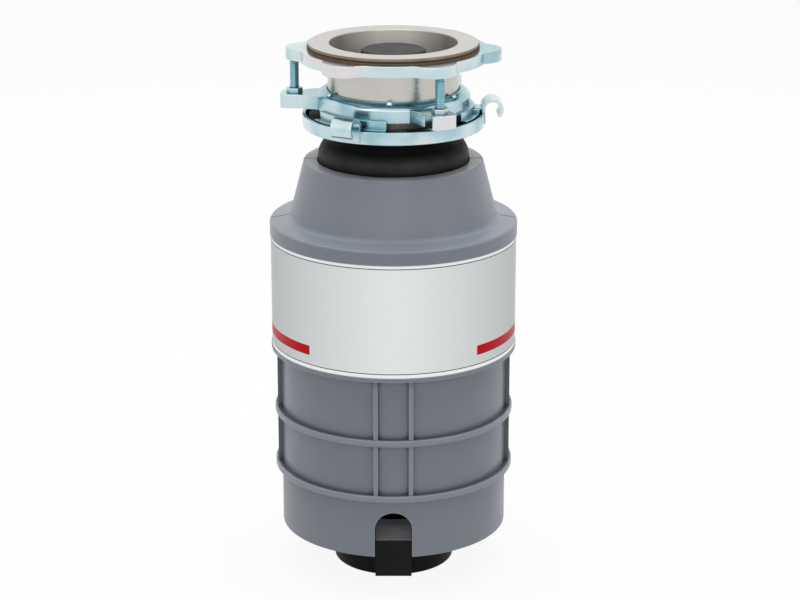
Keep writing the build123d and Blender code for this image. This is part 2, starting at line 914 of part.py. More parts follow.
with BuildPart() as armature_core:
    with BuildSketch(Plane.XY.offset(core_z)):
        Circle(core_r)
        Circle(shaft_r + press_gap, mode=Mode.SUBTRACT)
        with PolarLocations(core_r - slot_depth / 2, slot_count):
            Rectangle(slot_depth + fit_gap, slot_w, mode=Mode.SUBTRACT)
    extrude(amount=core_l)

winding_w = slot_w - 2 * slot_liner
winding_outer_r = core_r - 2 * slot_liner
winding_inner_r = core_r - slot_depth + slot_liner
with BuildPart() as armature_windings:
    for level in (core_z - slip_gap - overhang_h, core_z + core_l + slip_gap):
        with BuildSketch(Plane.XY.offset(level)):
            Circle(winding_outer_r)
            Circle(overhang_inner_r, mode=Mode.SUBTRACT)
        extrude(amount=overhang_h)
    fillet(armature_windings.edges().filter_by(GeomType.CIRCLE), overhang_edge)
    with BuildSketch(Plane.XY.offset(core_z - overhang_h / 2)):
        with PolarLocations((winding_inner_r + winding_outer_r - overhang_edge) / 2, slot_count):
            Rectangle(winding_outer_r - overhang_edge - winding_inner_r, winding_w)
    extrude(amount=core_l + overhang_h)

with BuildPart() as commutator:
    with BuildSketch(Plane.XY.offset(commutator_z)):
        Circle(commutator_r)
        Circle(shaft_r + press_gap, mode=Mode.SUBTRACT)
        with PolarLocations(commutator_r - bar_slit_depth / 2, commutator_bars):
            Rectangle(bar_slit_depth + fit_gap, bar_slit, mode=Mode.SUBTRACT)
    extrude(amount=commutator_h)

# Drain chamber, with the motor's upper bearing hub below and the outlet behind
with BuildPart() as lower_housing:
    revolve(
        section(
            (upper_bearing_r + press_gap, upper_bearing_z),
            (hub_r, upper_bearing_z),
            (hub_r, floor_z),
            (can_bore_r - fit_gap - spigot_w, floor_z),
            (can_bore_r - fit_gap - spigot_w, floor_z - spigot_h),
            (can_bore_r - fit_gap, floor_z - spigot_h),
            (can_bore_r - fit_gap, floor_z),
            (chamber_outer_r, floor_z),
            (chamber_outer_r, ledge_z),
            (seat_flange_r, ledge_z),
            (seat_flange_r, ledge_z + seat_flange_t),
            (chamber_outer_r, ledge_z + seat_flange_t),
            (chamber_outer_r, joint_z - joint_flange_t),
            (joint_flange_r, joint_z - joint_flange_t),
            (joint_flange_r, joint_z),
            (chamber_r, joint_z),
            (chamber_r, chamber_z),
            (hub_r, chamber_z),
            (hub_r, chamber_z + hub_rise),
            (seal_r + press_gap, chamber_z + hub_rise),
            (seal_r + press_gap, seal_z),
            (shaft_r + slip_gap, seal_z),
            (shaft_r + slip_gap, floor_z),
            (upper_bearing_r + press_gap, floor_z),
        ),
        axis=Axis.Z,
    )
    # Outlet pipe and its flange
    with BuildSketch(Plane.XZ.offset(-chamber_r - fit_gap)):
        with Locations((0, outlet_z)):
            Circle(outlet_bore_r + outlet_wall)
    extrude(amount=-(outlet_reach - chamber_r - fit_gap))
    extrude(
        outlet_outline(Plane.XZ.offset(-outlet_reach), 0),
        amount=outlet_flange_t,
    )
    with BuildSketch(Plane.XZ.offset(-hub_r - outlet_bore_r)):
        with Locations((0, outlet_z)):
            Circle(outlet_bore_r)
    extrude(amount=-outlet_reach, mode=Mode.SUBTRACT)
    with BuildSketch(Plane.XZ.offset(-outlet_reach)):
        for side in (-1, 1):
            with Locations((side * outlet_hole_spacing / 2, outlet_z)):
                Circle(outlet_hole_r)
    extrude(amount=outlet_hole_depth, mode=Mode.SUBTRACT)
    # Holes for the through bolts and the chamber screws
    with BuildSketch(Plane.XY.offset(floor_z)):
        with PolarLocations(bolt_circle_r, bolt_count, start_angle=bolt_start):
            Circle(bolt_r + press_gap)
    extrude(amount=bolt_bite, mode=Mode.SUBTRACT)
    with BuildSketch(Plane.XY.offset(joint_z - joint_flange_t)):
        with PolarLocations(chamber_screw_circle_r, chamber_screw_count):
            Circle(chamber_screw_r + fit_gap)
    extrude(amount=joint_flange_t, mode=Mode.SUBTRACT)

with BuildPart() as shaft_seal:
    with BuildSketch(Plane.XY.offset(seal_z)):
        Circle(seal_r)
        Circle(upper_journal_r + run_gap, mode=Mode.SUBTRACT)
    extrude(amount=seal_h)

with BuildPart() as chamber_gasket:
    with BuildSketch(Plane.XY.offset(joint_z)):
        Circle(joint_flange_r)
        Circle(hopper_bore_r, mode=Mode.SUBTRACT)
        with PolarLocations(chamber_screw_circle_r, chamber_screw_count):
            Circle(chamber_screw_r + fit_gap, mode=Mode.SUBTRACT)
    extrude(amount=chamber_gasket_t)

# Screws from under the joint flange into the hopper
with BuildPart() as chamber_screws:
    with BuildSketch(Plane.XY.offset(joint_z - joint_flange_t - chamber_screw_head_h)):
        with PolarLocations(chamber_screw_circle_r, chamber_screw_count):
            Circle(chamber_screw_head_r)
    extrude(amount=chamber_screw_head_h)
    with BuildSketch(Plane.XY.offset(joint_z - joint_flange_t)):
        with PolarLocations(chamber_screw_circle_r, chamber_screw_count):
            Circle(chamber_screw_r)
    extrude(amount=2 * joint_flange_t + chamber_gasket_t)

# Slinger on the shaft, its skirt round the seal's hub
with BuildPart() as slinger:
    with BuildSketch(Plane.XY.offset(slinger_z - slinger_skirt)):
        Circle(slinger_r)
        Circle(slinger_r - slinger_t, mode=Mode.SUBTRACT)
    extrude(amount=slinger_skirt)
    with BuildSketch(Plane.XY.offset(slinger_z)):
        Circle(slinger_r)
        Circle(upper_journal_r + press_gap, mode=Mode.SUBTRACT)
    extrude(amount=slinger_t)

# Turntable on the spindle, its nut, and two swivelling lugs on rivets
with BuildPart() as turntable:
    with BuildSketch(Plane.XY.offset(spindle_z)):
        Circle(turntable_hub_r)
    extrude(amount=turntable_hub_h)
    with BuildSketch(Plane.XY.offset(turntable_z)):
        Circle(turntable_r)
        with PolarLocations(pin_circle_r, lug_count):
            Circle(pin_r + press_gap, mode=Mode.SUBTRACT)
        with PolarLocations(drain_hole_circle_r, drain_hole_count, start_angle=180 / drain_hole_count):
            Circle(drain_hole_r, mode=Mode.SUBTRACT)
    extrude(amount=turntable_t)
    with BuildSketch(Plane.XY.offset(spindle_z)):
        Circle(spindle_r + press_gap)
    extrude(amount=turntable_hub_h + turntable_t, mode=Mode.SUBTRACT)

with BuildPart() as turntable_nut:
    with BuildSketch(Plane.XY.offset(turntable_top_z)):
        RegularPolygon(nut_af / 2, hex_sides, major_radius=False)
        Circle(thread_r + press_gap, mode=Mode.SUBTRACT)
    extrude(amount=nut_h)

with BuildPart() as lug_pins:
    with BuildSketch(Plane.XY.offset(turntable_z - tail_h)):
        with PolarLocations(pin_circle_r, lug_count):
            Circle(tail_r)
    extrude(amount=tail_h)
    with BuildSketch(Plane.XY.offset(turntable_z)):
        with PolarLocations(pin_circle_r, lug_count):
            Circle(pin_r)
    extrude(amount=lug_z + lug_h + slip_gap - turntable_z)
    with BuildSketch(Plane.XY.offset(lug_z + lug_h + slip_gap)):
        with PolarLocations(pin_circle_r, lug_count):
            Circle(pin_head_r)
    extrude(amount=pin_head_h)


def lug_outline(side):
    """Outline of a lug that trails from its pin, on one side of the turntable."""
    pin_x = side * pin_circle_r
    with BuildSketch(Plane.XY.offset(lug_z)) as outline:
        with Locations((pin_x, 0)):
            Circle(lug_eye_r)
        with Locations((pin_x, side * (lug_reach - lug_head_r))):
            Circle(lug_head_r)
        make_hull()
        with Locations((pin_x, 0)):
            Circle(pin_r + run_gap, mode=Mode.SUBTRACT)
    return outline.sketch


with BuildPart() as swivel_lug_a:
    extrude(lug_outline(1), amount=lug_h)

with BuildPart() as swivel_lug_b:
    extrude(lug_outline(-1), amount=lug_h)

# Shredder ring with a row of cutting slots
with BuildPart() as shredder_ring:
    with BuildSketch(Plane.XY.offset(joint_z)):
        Circle(ring_outer_r)
        Circle(ring_inner_r, mode=Mode.SUBTRACT)
    extrude(amount=ring_h)
    with BuildSketch(Plane.XY.offset(joint_z + ring_slot_lift)):
        with PolarLocations((ring_inner_r + ring_outer_r) / 2, ring_slot_count):
            Rectangle(2 * ring_t, ring_slot_w)
    extrude(amount=ring_slot_h, mode=Mode.SUBTRACT)

# Hopper: grinding chamber, taper, neck with its lip, and dishwasher spigot
with BuildPart() as hopper:
    revolve(
        section(
            (0, hopper_z),
            (joint_flange_r, hopper_z),
            (joint_flange_r, hopper_z + joint_flange_t),
            (hopper_outer_r, hopper_z + joint_flange_t),
            (hopper_outer_r, hopper_taper_z),
            (hopper_waist_r, hopper_waist_z),
            (neck_r, neck_z),
            (neck_r, lip_z),
            (lip_r, lip_z),
            (lip_r, lip_top_z),
            (0, lip_top_z),
        ),
        axis=Axis.Z,
    )
    with BuildSketch(Plane.XZ):
        with Locations((0, spigot_z)):
            Circle(spigot_root_r)
    extrude(amount=-spigot_seat_y)
    with BuildSketch(Plane.XZ.offset(-spigot_seat_y)):
        with Locations((0, spigot_z)):
            Circle(spigot_r)
    extrude(amount=-spigot_l)
    revolve(
        section(
            (0, hopper_z),
            (hopper_bore_r, hopper_z),
            (hopper_bore_r, hopper_step_z),
            (ring_inner_r, hopper_step_z),
            (ring_inner_r, hopper_taper_z),
            (hopper_waist_r - hopper_wall, hopper_waist_z),
            (neck_bore_r, neck_z),
            (neck_bore_r, lip_top_z),
            (0, lip_top_z),
        ),
        axis=Axis.Z,
        mode=Mode.SUBTRACT,
    )
    with BuildSketch(Plane.XZ.offset(-spigot_plug_y)):
        with Locations((0, spigot_z)):
            Circle(spigot_bore_r)
    extrude(amount=-spigot_end_y, mode=Mode.SUBTRACT)
    with BuildSketch(Plane.XY.offset(hopper_z)):
        with PolarLocations(chamber_screw_circle_r, chamber_screw_count):
            Circle(chamber_screw_r + press_gap)
    extrude(amount=joint_flange_t, mode=Mode.SUBTRACT)

# Rubber mount, gripping the neck's lip and carrying the sleeve's end
crease_z = lip_top_z + cushion_crease_rise
with BuildPart() as mounting_cushion:
    with BuildSketch(Plane.XZ):
        with BuildLine():
            bulge = SagittaArc((cushion_r, lip_top_z), (cushion_crease_r, crease_z), -cushion_bulge)
            throat = SagittaArc(bulge @ 1, (cushion_throat_r, sleeve_end_z), cushion_hollow)
            Polyline(
                throat @ 1,
                (cushion_throat_r, cushion_flange_z),
                (cushion_flange_r, cushion_flange_z),
                (cushion_flange_r, cushion_top_z),
                (sleeve_r + fit_gap, cushion_top_z),
                (sleeve_r + fit_gap, sleeve_end_z),
                (neck_bore_r, sleeve_end_z),
                (neck_bore_r, lip_top_z),
                (lip_r + press_gap, lip_top_z),
                (lip_r + press_gap, lip_z),
                (neck_r + press_gap, lip_z),
                (neck_r + press_gap, cushion_skirt_z),
                (cushion_skirt_r, cushion_skirt_z),
                (cushion_r, lip_z),
                bulge @ 0,
            )
        make_face()
    revolve(axis=Axis.Z)

# Splash guard in the sleeve, its web slit into petals
with BuildPart() as splash_guard:
    with BuildSketch(Plane.XY.offset(sleeve_end_z)):
        Circle(throat_r - fit_gap)
        Circle(throat_r - fit_gap - guard_wall, mode=Mode.SUBTRACT)
    extrude(amount=guard_h)
    with BuildSketch(Plane.XY.offset(sleeve_end_z + guard_web_lift)):
        Circle(throat_r - fit_gap)
        Circle(guard_mouth_r, mode=Mode.SUBTRACT)
        with PolarLocations(guard_mouth_r - guard_slit_w + guard_slit_l / 2, guard_slits):
            Rectangle(guard_slit_l, guard_slit_w, mode=Mode.SUBTRACT)
    extrude(amount=guard_web_t)

# Stopper: seal, flange, stem and knob
knob_top_z = rim_top_z - stopper_drop
stopper_z = guard_top_z + stopper_seal_t
with BuildPart() as stopper:
    with BuildSketch(Plane.XZ) as stopper_section:
        with BuildLine():
            Polyline(
                (0, stopper_z),
                (plug_r, stopper_z),
                (plug_r, stopper_z + stopper_flange_t),
                (stopper_stem_r, stopper_z + stopper_flange_t),
                (stopper_stem_r, knob_top_z - stopper_knob_h),
                (stopper_knob_r, knob_top_z - stopper_knob_h),
                (stopper_knob_r, knob_top_z),
                (0, knob_top_z),
                close=True,
            )
        make_face()
        fillet(corner(stopper_section, stopper_knob_r, knob_top_z), stopper_knob_edge)
    revolve(axis=Axis.Z)

with BuildPart() as stopper_seal:
    with BuildSketch(Plane.XY.offset(guard_top_z)):
        Circle(plug_r)
        Circle(plug_r - stopper_seal_w, mode=Mode.SUBTRACT)
    extrude(amount=stopper_seal_t)

# Sink flange: flat rim, drawn sleeve and snap ring groove
groove_r = sleeve_r - groove_depth
with BuildPart() as sink_flange:
    with BuildSketch(Plane.XZ) as flange_section:
        with BuildLine():
            Polyline(
                (throat_r, sleeve_end_z),
                (sleeve_r, sleeve_end_z),
                (sleeve_r, snap_z - snap_wire_r - fit_gap),
                (groove_r, snap_z - snap_wire_r - fit_gap),
                (groove_r, snap_z + snap_wire_r + fit_gap),
                (sleeve_r, snap_z + snap_wire_r + fit_gap),
                (sleeve_r, rim_z),
                (rim_r, rim_z),
                (rim_r, rim_top_z),
                (throat_r, rim_top_z),
                close=True,
            )
        make_face()
        fillet(corner(flange_section, rim_r, rim_top_z), rim_edge)
        fillet(corner(flange_section, throat_r, rim_top_z), throat_edge)
    revolve(axis=Axis.Z)

with BuildPart() as fibre_gasket:
    with BuildSketch(Plane.XY.offset(backup_top_z)):
        Circle(fibre_r)
        Circle(clamp_bore_r, mode=Mode.SUBTRACT)
    extrude(amount=fibre_t)

# Backup ring: a pressed plate with lobes and a turned-down skirt
def backup_outline(level):
    """Outline of the lobed plate at a level."""
    with BuildSketch(Plane.XY.offset(level)) as outline:
        Circle(backup_r)
        with PolarLocations(lobe_circle_r, lobe_count, start_angle=ear_angle):
            Circle(lobe_r)
        fillet(outline.vertices(), lobe_fillet)
    return outline.sketch


with BuildPart() as backup_ring:
    extrude(backup_outline(backup_z), amount=backup_h)
    with BuildSketch(Plane.XY.offset(backup_z)):
        add(backup_outline(0))
        offset(amount=-sheet_t)
    extrude(amount=backup_h - sheet_t, mode=Mode.SUBTRACT)
    with BuildSketch(Plane.XY.offset(backup_z)):
        Circle(clamp_bore_r)
    extrude(amount=backup_h, mode=Mode.SUBTRACT)

# Mounting ring: pressed dome with three hollow ears and three slide-up ramps
dome_shoulder_z = ear_top_z - sheet_t / 4
with BuildPart() as mounting_ring:
    with BuildSketch(Plane.XZ):
        with BuildLine():
            crown = SagittaArc((dome_inner_r, dome_top_z), (dome_r, dome_shoulder_z), dome_bulge)
            under = SagittaArc(
                (dome_inner_r, dome_top_z - sheet_t),
                (dome_wall_r, dome_shoulder_z - sheet_t),
                dome_bulge,
            )
            Polyline(
                crown @ 1,
                (dome_r, ear_z + dome_skirt_lift),
                (dome_wall_r, ear_z + dome_skirt_lift),
                under @ 1,
            )
            Line(under @ 0, crown @ 0)
        make_face()
    revolve(axis=Axis.Z)
    # Ears, hollow underneath
    with BuildSketch(Plane.XY.offset(ear_z)) as ear_outline:
        with PolarLocations(0, screw_count, start_angle=ear_angle):
            Polygon(
                (dome_wall_r, -ear_root_w / 2),
                (ear_neck_r, -ear_w / 2),
                (ear_end_r, -ear_w / 2),
                (ear_end_r, ear_w / 2),
                (ear_neck_r, ear_w / 2),
                (dome_wall_r, ear_root_w / 2),
                align=None,
            )
        fillet(ear_outline.vertices().group_by(lambda v: round(v.distance_to((0, 0))))[-1], ear_corner)
    extrude(amount=ear_h)
    with BuildSketch(Plane.XY.offset(ear_z)):
        with PolarLocations((dome_r + ear_end_r - sheet_t) / 2, screw_count, start_angle=ear_angle):
            Rectangle(ear_end_r - sheet_t - dome_r, ear_w - 2 * sheet_t)
    extrude(amount=ear_h - sheet_t, mode=Mode.SUBTRACT)
    with BuildSketch(Plane.XY.offset(ear_z)):
        with PolarLocations(screw_circle_r, screw_count, start_angle=ear_angle):
            Circle(screw_r + slip_gap)
    extrude(amount=ear_h, mode=Mode.SUBTRACT)
    # Ramps with their webs and end stops
    ramp_span = ramp_lead + ramp_trail
    for index in range(tab_count):
        turn = index * 360 / tab_count
        start = tab_angle - ramp_lead + turn
        extrude(sector(ramp_z, dome_wall_r, ramp_r, start, ramp_span), amount=ramp_t)
        extrude(
            sector(ramp_z, dome_wall_r, ramp_web_r, start, ramp_span),
            amount=ear_z + dome_skirt_lift + ramp_tie - ramp_z,
        )
        extrude(
            sector(ramp_z, dome_wall_r, ramp_r, ramp_stop_start + turn, ramp_stop),
            amount=tongue_z + tongue_t - ramp_z,
        )
    # Dimples round the dome's inner edge
    with BuildSketch(Plane.XY.offset(dome_top_z - sheet_t / 2)):
        with PolarLocations(
            dome_inner_r + dimple_r, dimple_count, start_angle=ear_angle + 180 / dimple_count
        ):
            Circle(dimple_r - fit_gap)
    extrude(amount=sheet_t / 2 + dimple_h, taper=dimple_taper)

with BuildPart() as snap_ring:
    with BuildSketch(Plane.XZ):
        with Locations((groove_r + snap_wire_r + press_gap, snap_z)):
            Circle(snap_wire_r)
    revolve(axis=Axis.Z, revolution_arc=360 - snap_gap_angle)

# Clamp screws from the ears up to the backup ring, and their nuts
with BuildPart() as clamp_screws:
    with BuildSketch(Plane.XY.offset(ear_z + screw_lift)):
        with PolarLocations(screw_circle_r, screw_count, start_angle=ear_angle):
            Circle(screw_r)
    extrude(amount=backup_top_z - sheet_t - ear_z - screw_lift)
    with BuildSketch(Plane.XY.offset(ear_z + screw_lift)):
        with PolarLocations(screw_circle_r, screw_count, start_angle=ear_angle):
            Rectangle(screw_slot_w, 2 * screw_r)
    extrude(amount=screw_slot_depth, mode=Mode.SUBTRACT)

with BuildPart() as ear_nuts:
    with BuildSketch(Plane.XY.offset(ear_top_z)):
        with PolarLocations(screw_circle_r, screw_count, start_angle=ear_angle):
            RegularPolygon(ear_nut_r, hex_sides)
            Circle(screw_r + run_gap, mode=Mode.SUBTRACT)
    extrude(amount=ear_nut_h)

# Lock ring: angle-section ring with rolled tabs and inward tongues
with BuildPart() as rolled_tab:
    with BuildSketch(Plane.XZ):
        roll_z = lock_z + tab_roll_rise
        with BuildLine():
            outer = CenterArc((tab_roll_x, roll_z), tab_roll_r, tab_roll_end, 180 - tab_roll_end)
            inner = CenterArc((tab_roll_x, roll_z), tab_roll_r - tab_t, tab_roll_end, 180 - tab_roll_end)
            Line(outer @ 0, inner @ 0)
            Polyline(
                outer @ 1,
                (lock_inner_r, lock_z + lock_wall),
                (lock_inner_r + tab_t, lock_z + lock_wall),
                inner @ 1,
            )
        make_face()
    extrude(amount=tab_w / 2, both=True)

with BuildPart() as lock_ring:
    with BuildSketch(Plane.XZ) as lock_section:
        with BuildLine():
            Polyline(
                (lock_floor_r, lock_z),
                (lock_r, lock_z),
                (lock_r, lock_z + lock_h),
                (lock_inner_r, lock_z + lock_h),
                (lock_inner_r, lock_z + lock_wall),
                (lock_floor_r, lock_z + lock_wall),
                close=True,
            )
        make_face()
        fillet(corner(lock_section, lock_r, lock_z), lock_edge)
    revolve(axis=Axis.Z)
    with PolarLocations(0, tab_count, start_angle=tab_angle):
        add(rolled_tab.part)
    for index in range(tab_count):
        start = tab_angle - tongue_span / 2 + index * 360 / tab_count
        extrude(
            sector(tongue_z, lock_inner_r - tongue_depth, lock_r - lock_wall / 2, start, tongue_span),
            amount=tongue_t,
        )

pieces = {
    "sink_flange": sink_flange,
    "stopper": stopper,
    "stopper_seal": stopper_seal,
    "fibre_gasket": fibre_gasket,
    "backup_ring": backup_ring,
    "clamp_screws": clamp_screws,
    "ear_nuts": ear_nuts,
    "mounting_ring": mounting_ring,
    "snap_ring": snap_ring,
    "lock_ring": lock_ring,
    "mounting_cushion": mounting_cushion,
    "splash_guard": splash_guard,
    "hopper": hopper,
    "chamber_gasket": chamber_gasket,
    "chamber_screws": chamber_screws,
    "lower_housing": lower_housing,
    "shredder_ring": shredder_ring,
    "turntable": turntable,
    "turntable_nut": turntable_nut,
    "lug_pins": lug_pins,
    "swivel_lug_a": swivel_lug_a,
    "swivel_lug_b": swivel_lug_b,
    "slinger": slinger,
    "shaft_seal": shaft_seal,
    "upper_bearing": upper_bearing,
    "lower_bearing": lower_bearing,
    "motor_shaft": motor_shaft,
    "armature_core": armature_core,
    "armature_windings": armature_windings,
    "commutator": commutator,
    "motor_can": motor_can,
    "field_magnets": field_magnets,
    "lower_end_frame": lower_end_frame,
    "through_bolts": through_bolts,
    "brush_holders": brush_holders,
    "brushes": brushes,
    "brush_springs": brush_springs,
    "rectifier_block": rectifier_block,
    "overload_protector": overload_protector,
    "reset_button": reset_button,
    "bottom_cover": bottom_cover,
    "wiring_cover": wiring_cover,
    "wiring_cover_screw": wiring_cover_screw,
    "front_casing": front_casing,
    "rear_casing": rear_casing,
    "casing_screws": casing_screws,
    "label_band": label_band,
}

os.makedirs("parts", exist_ok=True)
for name, piece in pieces.items():
    piece.part.label = name
    export_step(piece.part, f"parts/{name}.step")
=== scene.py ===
import json
import math

import bmesh
import bpy
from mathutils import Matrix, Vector


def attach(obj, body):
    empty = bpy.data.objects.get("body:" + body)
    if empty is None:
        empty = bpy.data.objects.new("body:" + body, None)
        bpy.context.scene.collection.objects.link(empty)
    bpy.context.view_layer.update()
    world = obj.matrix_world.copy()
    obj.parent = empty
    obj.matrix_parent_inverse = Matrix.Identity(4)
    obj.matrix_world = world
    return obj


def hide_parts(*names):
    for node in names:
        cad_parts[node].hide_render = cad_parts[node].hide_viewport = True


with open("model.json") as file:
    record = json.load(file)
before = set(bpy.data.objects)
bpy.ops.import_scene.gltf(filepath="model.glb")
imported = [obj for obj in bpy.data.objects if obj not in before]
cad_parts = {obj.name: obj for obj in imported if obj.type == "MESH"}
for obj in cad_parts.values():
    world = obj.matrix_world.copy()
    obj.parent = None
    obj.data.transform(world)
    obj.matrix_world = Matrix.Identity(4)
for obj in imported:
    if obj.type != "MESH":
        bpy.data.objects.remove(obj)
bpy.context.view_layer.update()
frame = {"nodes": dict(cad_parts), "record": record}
nodes = frame["nodes"]

MM = 0.001
UP = (0.0, 0.0, 1.0)
WHITE = (1.0, 1.0, 1.0)

# Label's marks, in metres and radians from the front, and the turn at which its painted shade towards
# the sides is full
HAIRLINES = (0.1609, 0.2325)
HAIRLINE_HALF = 0.0003
STRIPE_Z = 0.1706
STRIPE_HALF = 0.0033
STRIPE_START = math.radians(41.8)
LABEL_SHADE_SIDE = math.radians(75.0)

# Casing, in metres: half width of the line where its halves meet, where the walls (painted as shade)
# and the crests (painted as highlights) of its ribs and uprights lie, the height that these stay
# below, and a level under its collar, above which upward faces are painted lighter as light
SEAM_HALF = 0.0007
RIB_WALL_R = 0.0772
RIB_LIT_CREST_R = (0.0779, 0.0790)
RIB_TOP_Z = 0.150
LIT_COLLAR_Z = 0.270

# Sink flange, in metres and radians: satin inside a radius, with a painted sheen at the back of its
# throat and painted shade at its sides, and a painted dark reflection round its rim's edge
SATIN_R = 0.0427
THROAT_SHEEN = (math.radians(124.0), math.radians(166.0))
RIM_EDGE_R = 0.0558
RIM_EDGE_Z = 0.3647

# Fibre gasket, in metres: heights over which it darkens as painted shade under the rim
FIBRE_SHADE_Z = (0.3612, 0.3622)

# Painted light lies on the wiring box's top above a level, faint at its open edge, in metres
PAINTED_LIGHT_Z = 0.038
PAINTED_LIGHT_Y = (-0.0760, -0.0560)

# Bloom on the rubber grows between these radii, in metres; inside them the rubber is painted black as
# shade
BLOOM_SHADE_R = (0.0464, 0.0500)

# Small gap or overlap where rubber meets a piece or itself, in millimetres
FIT = 0.05

# The flange's sleeve, and the neck with its lip, in millimetres as in the solids
SLEEVE_END_Z = 306.0
SLEEVE_R = 43.7
NECK_R = 44.6
LIP_R = 47.4
LIP_Z = (286.0, 290.0)

# Rubber mount, in millimetres, with the points of a curve for its bead and waist
MOUNT_FOOT_Z = 278.4
MOUNT_THROAT_R = 47.0
MOUNT_BEAD = [
    (48.8, MOUNT_FOOT_Z), (50.0, 281.0), (50.5, 285.0), (50.5, 289.0), (49.7, 293.2),
    (47.6, 297.2), (45.9, 300.2), (45.8, 302.6), (46.6, 305.4), (MOUNT_THROAT_R, 308.0),
]
MOUNT_BORE_R = 41.6
MOUNT_SLEEVE_GAP = 0.15
MOUNT_FLANGE_R = (43.9, 56.9)
MOUNT_FLANGE_Z = (310.8, 315.9)
MOUNT_FLANGE_EDGE = 0.7
MOUNT_FLANGE_UNDER_EDGE = 0.8

# Splash guard, in millimetres
GUARD_R = 42.3
GUARD_WALL = 2.0
GUARD_TOP_Z = 325.9
GUARD_EDGE = 0.5
GUARD_FOOT_EDGE = 0.4
GUARD_WEB_Z = 313.0
GUARD_WEB_T = 2.0
GUARD_FILLET = 2.0
GUARD_FILLET_MIDDLE = 0.6
GUARD_UNDER_FILLET = 1.5
GUARD_MOUTH_R = 13.0
GUARD_PETALS = 8
GUARD_SLIT_R = 34.0
GUARD_SLIT = 1.0
GUARD_DROOP = 3.5

# Stopper's seal, in millimetres
SEAL_R = (35.95, 41.8)
SEAL_Z = (326.05, 327.95)
SEAL_EDGE = 0.5
SEAL_EDGE_RISE = 0.4
SEAL_EDGE_DROP = 0.35
SEAL_BORE_EDGE = 0.25
SEAL_BORE_RISE = 0.45
SEAL_GROOVE_Z = 327.0
SEAL_GROOVE_HALF = 0.25

# Clamp screws, in millimetres and degrees; the thread's crests are flat on top, with sloping sides
SCREW_CIRCLE_R = 65.8
SCREW_ANGLES = (177.0, 297.0, 57.0)
SCREW_R = 3.16
SCREW_ROOT_R = 2.72
SCREW_PITCH = 1.27
SCREW_Z = 321.3
SCREW_TOP_Z = 358.75
THREAD_TOP = 1.6
THREAD_SLOPE = 4.0

# Floor, world, lamps and camera, in metres, with the camera's angle in degrees and its lens and
# sensor in millimetres
FLOOR_HALF = 9.0
FLOOR_GREY = (0.54, 0.54, 0.54)
FLOOR_ROUGHNESS = 0.9
FLOOR_GLOW_SHARE = 0.92
WORLD_FILL = 0.38
LAMP_AIM = (0.0, 0.0, 0.2)
CEILING = (0.0, 0.3, 2.2)
CEILING_SIZE = (2.8, 2.4)
CAMERA_PLACE = (0.0044, -1.586, 0.689)
CAMERA_DOWN = 17.6
CAMERA_LENS = 109.8
CAMERA_SENSOR = 36.0


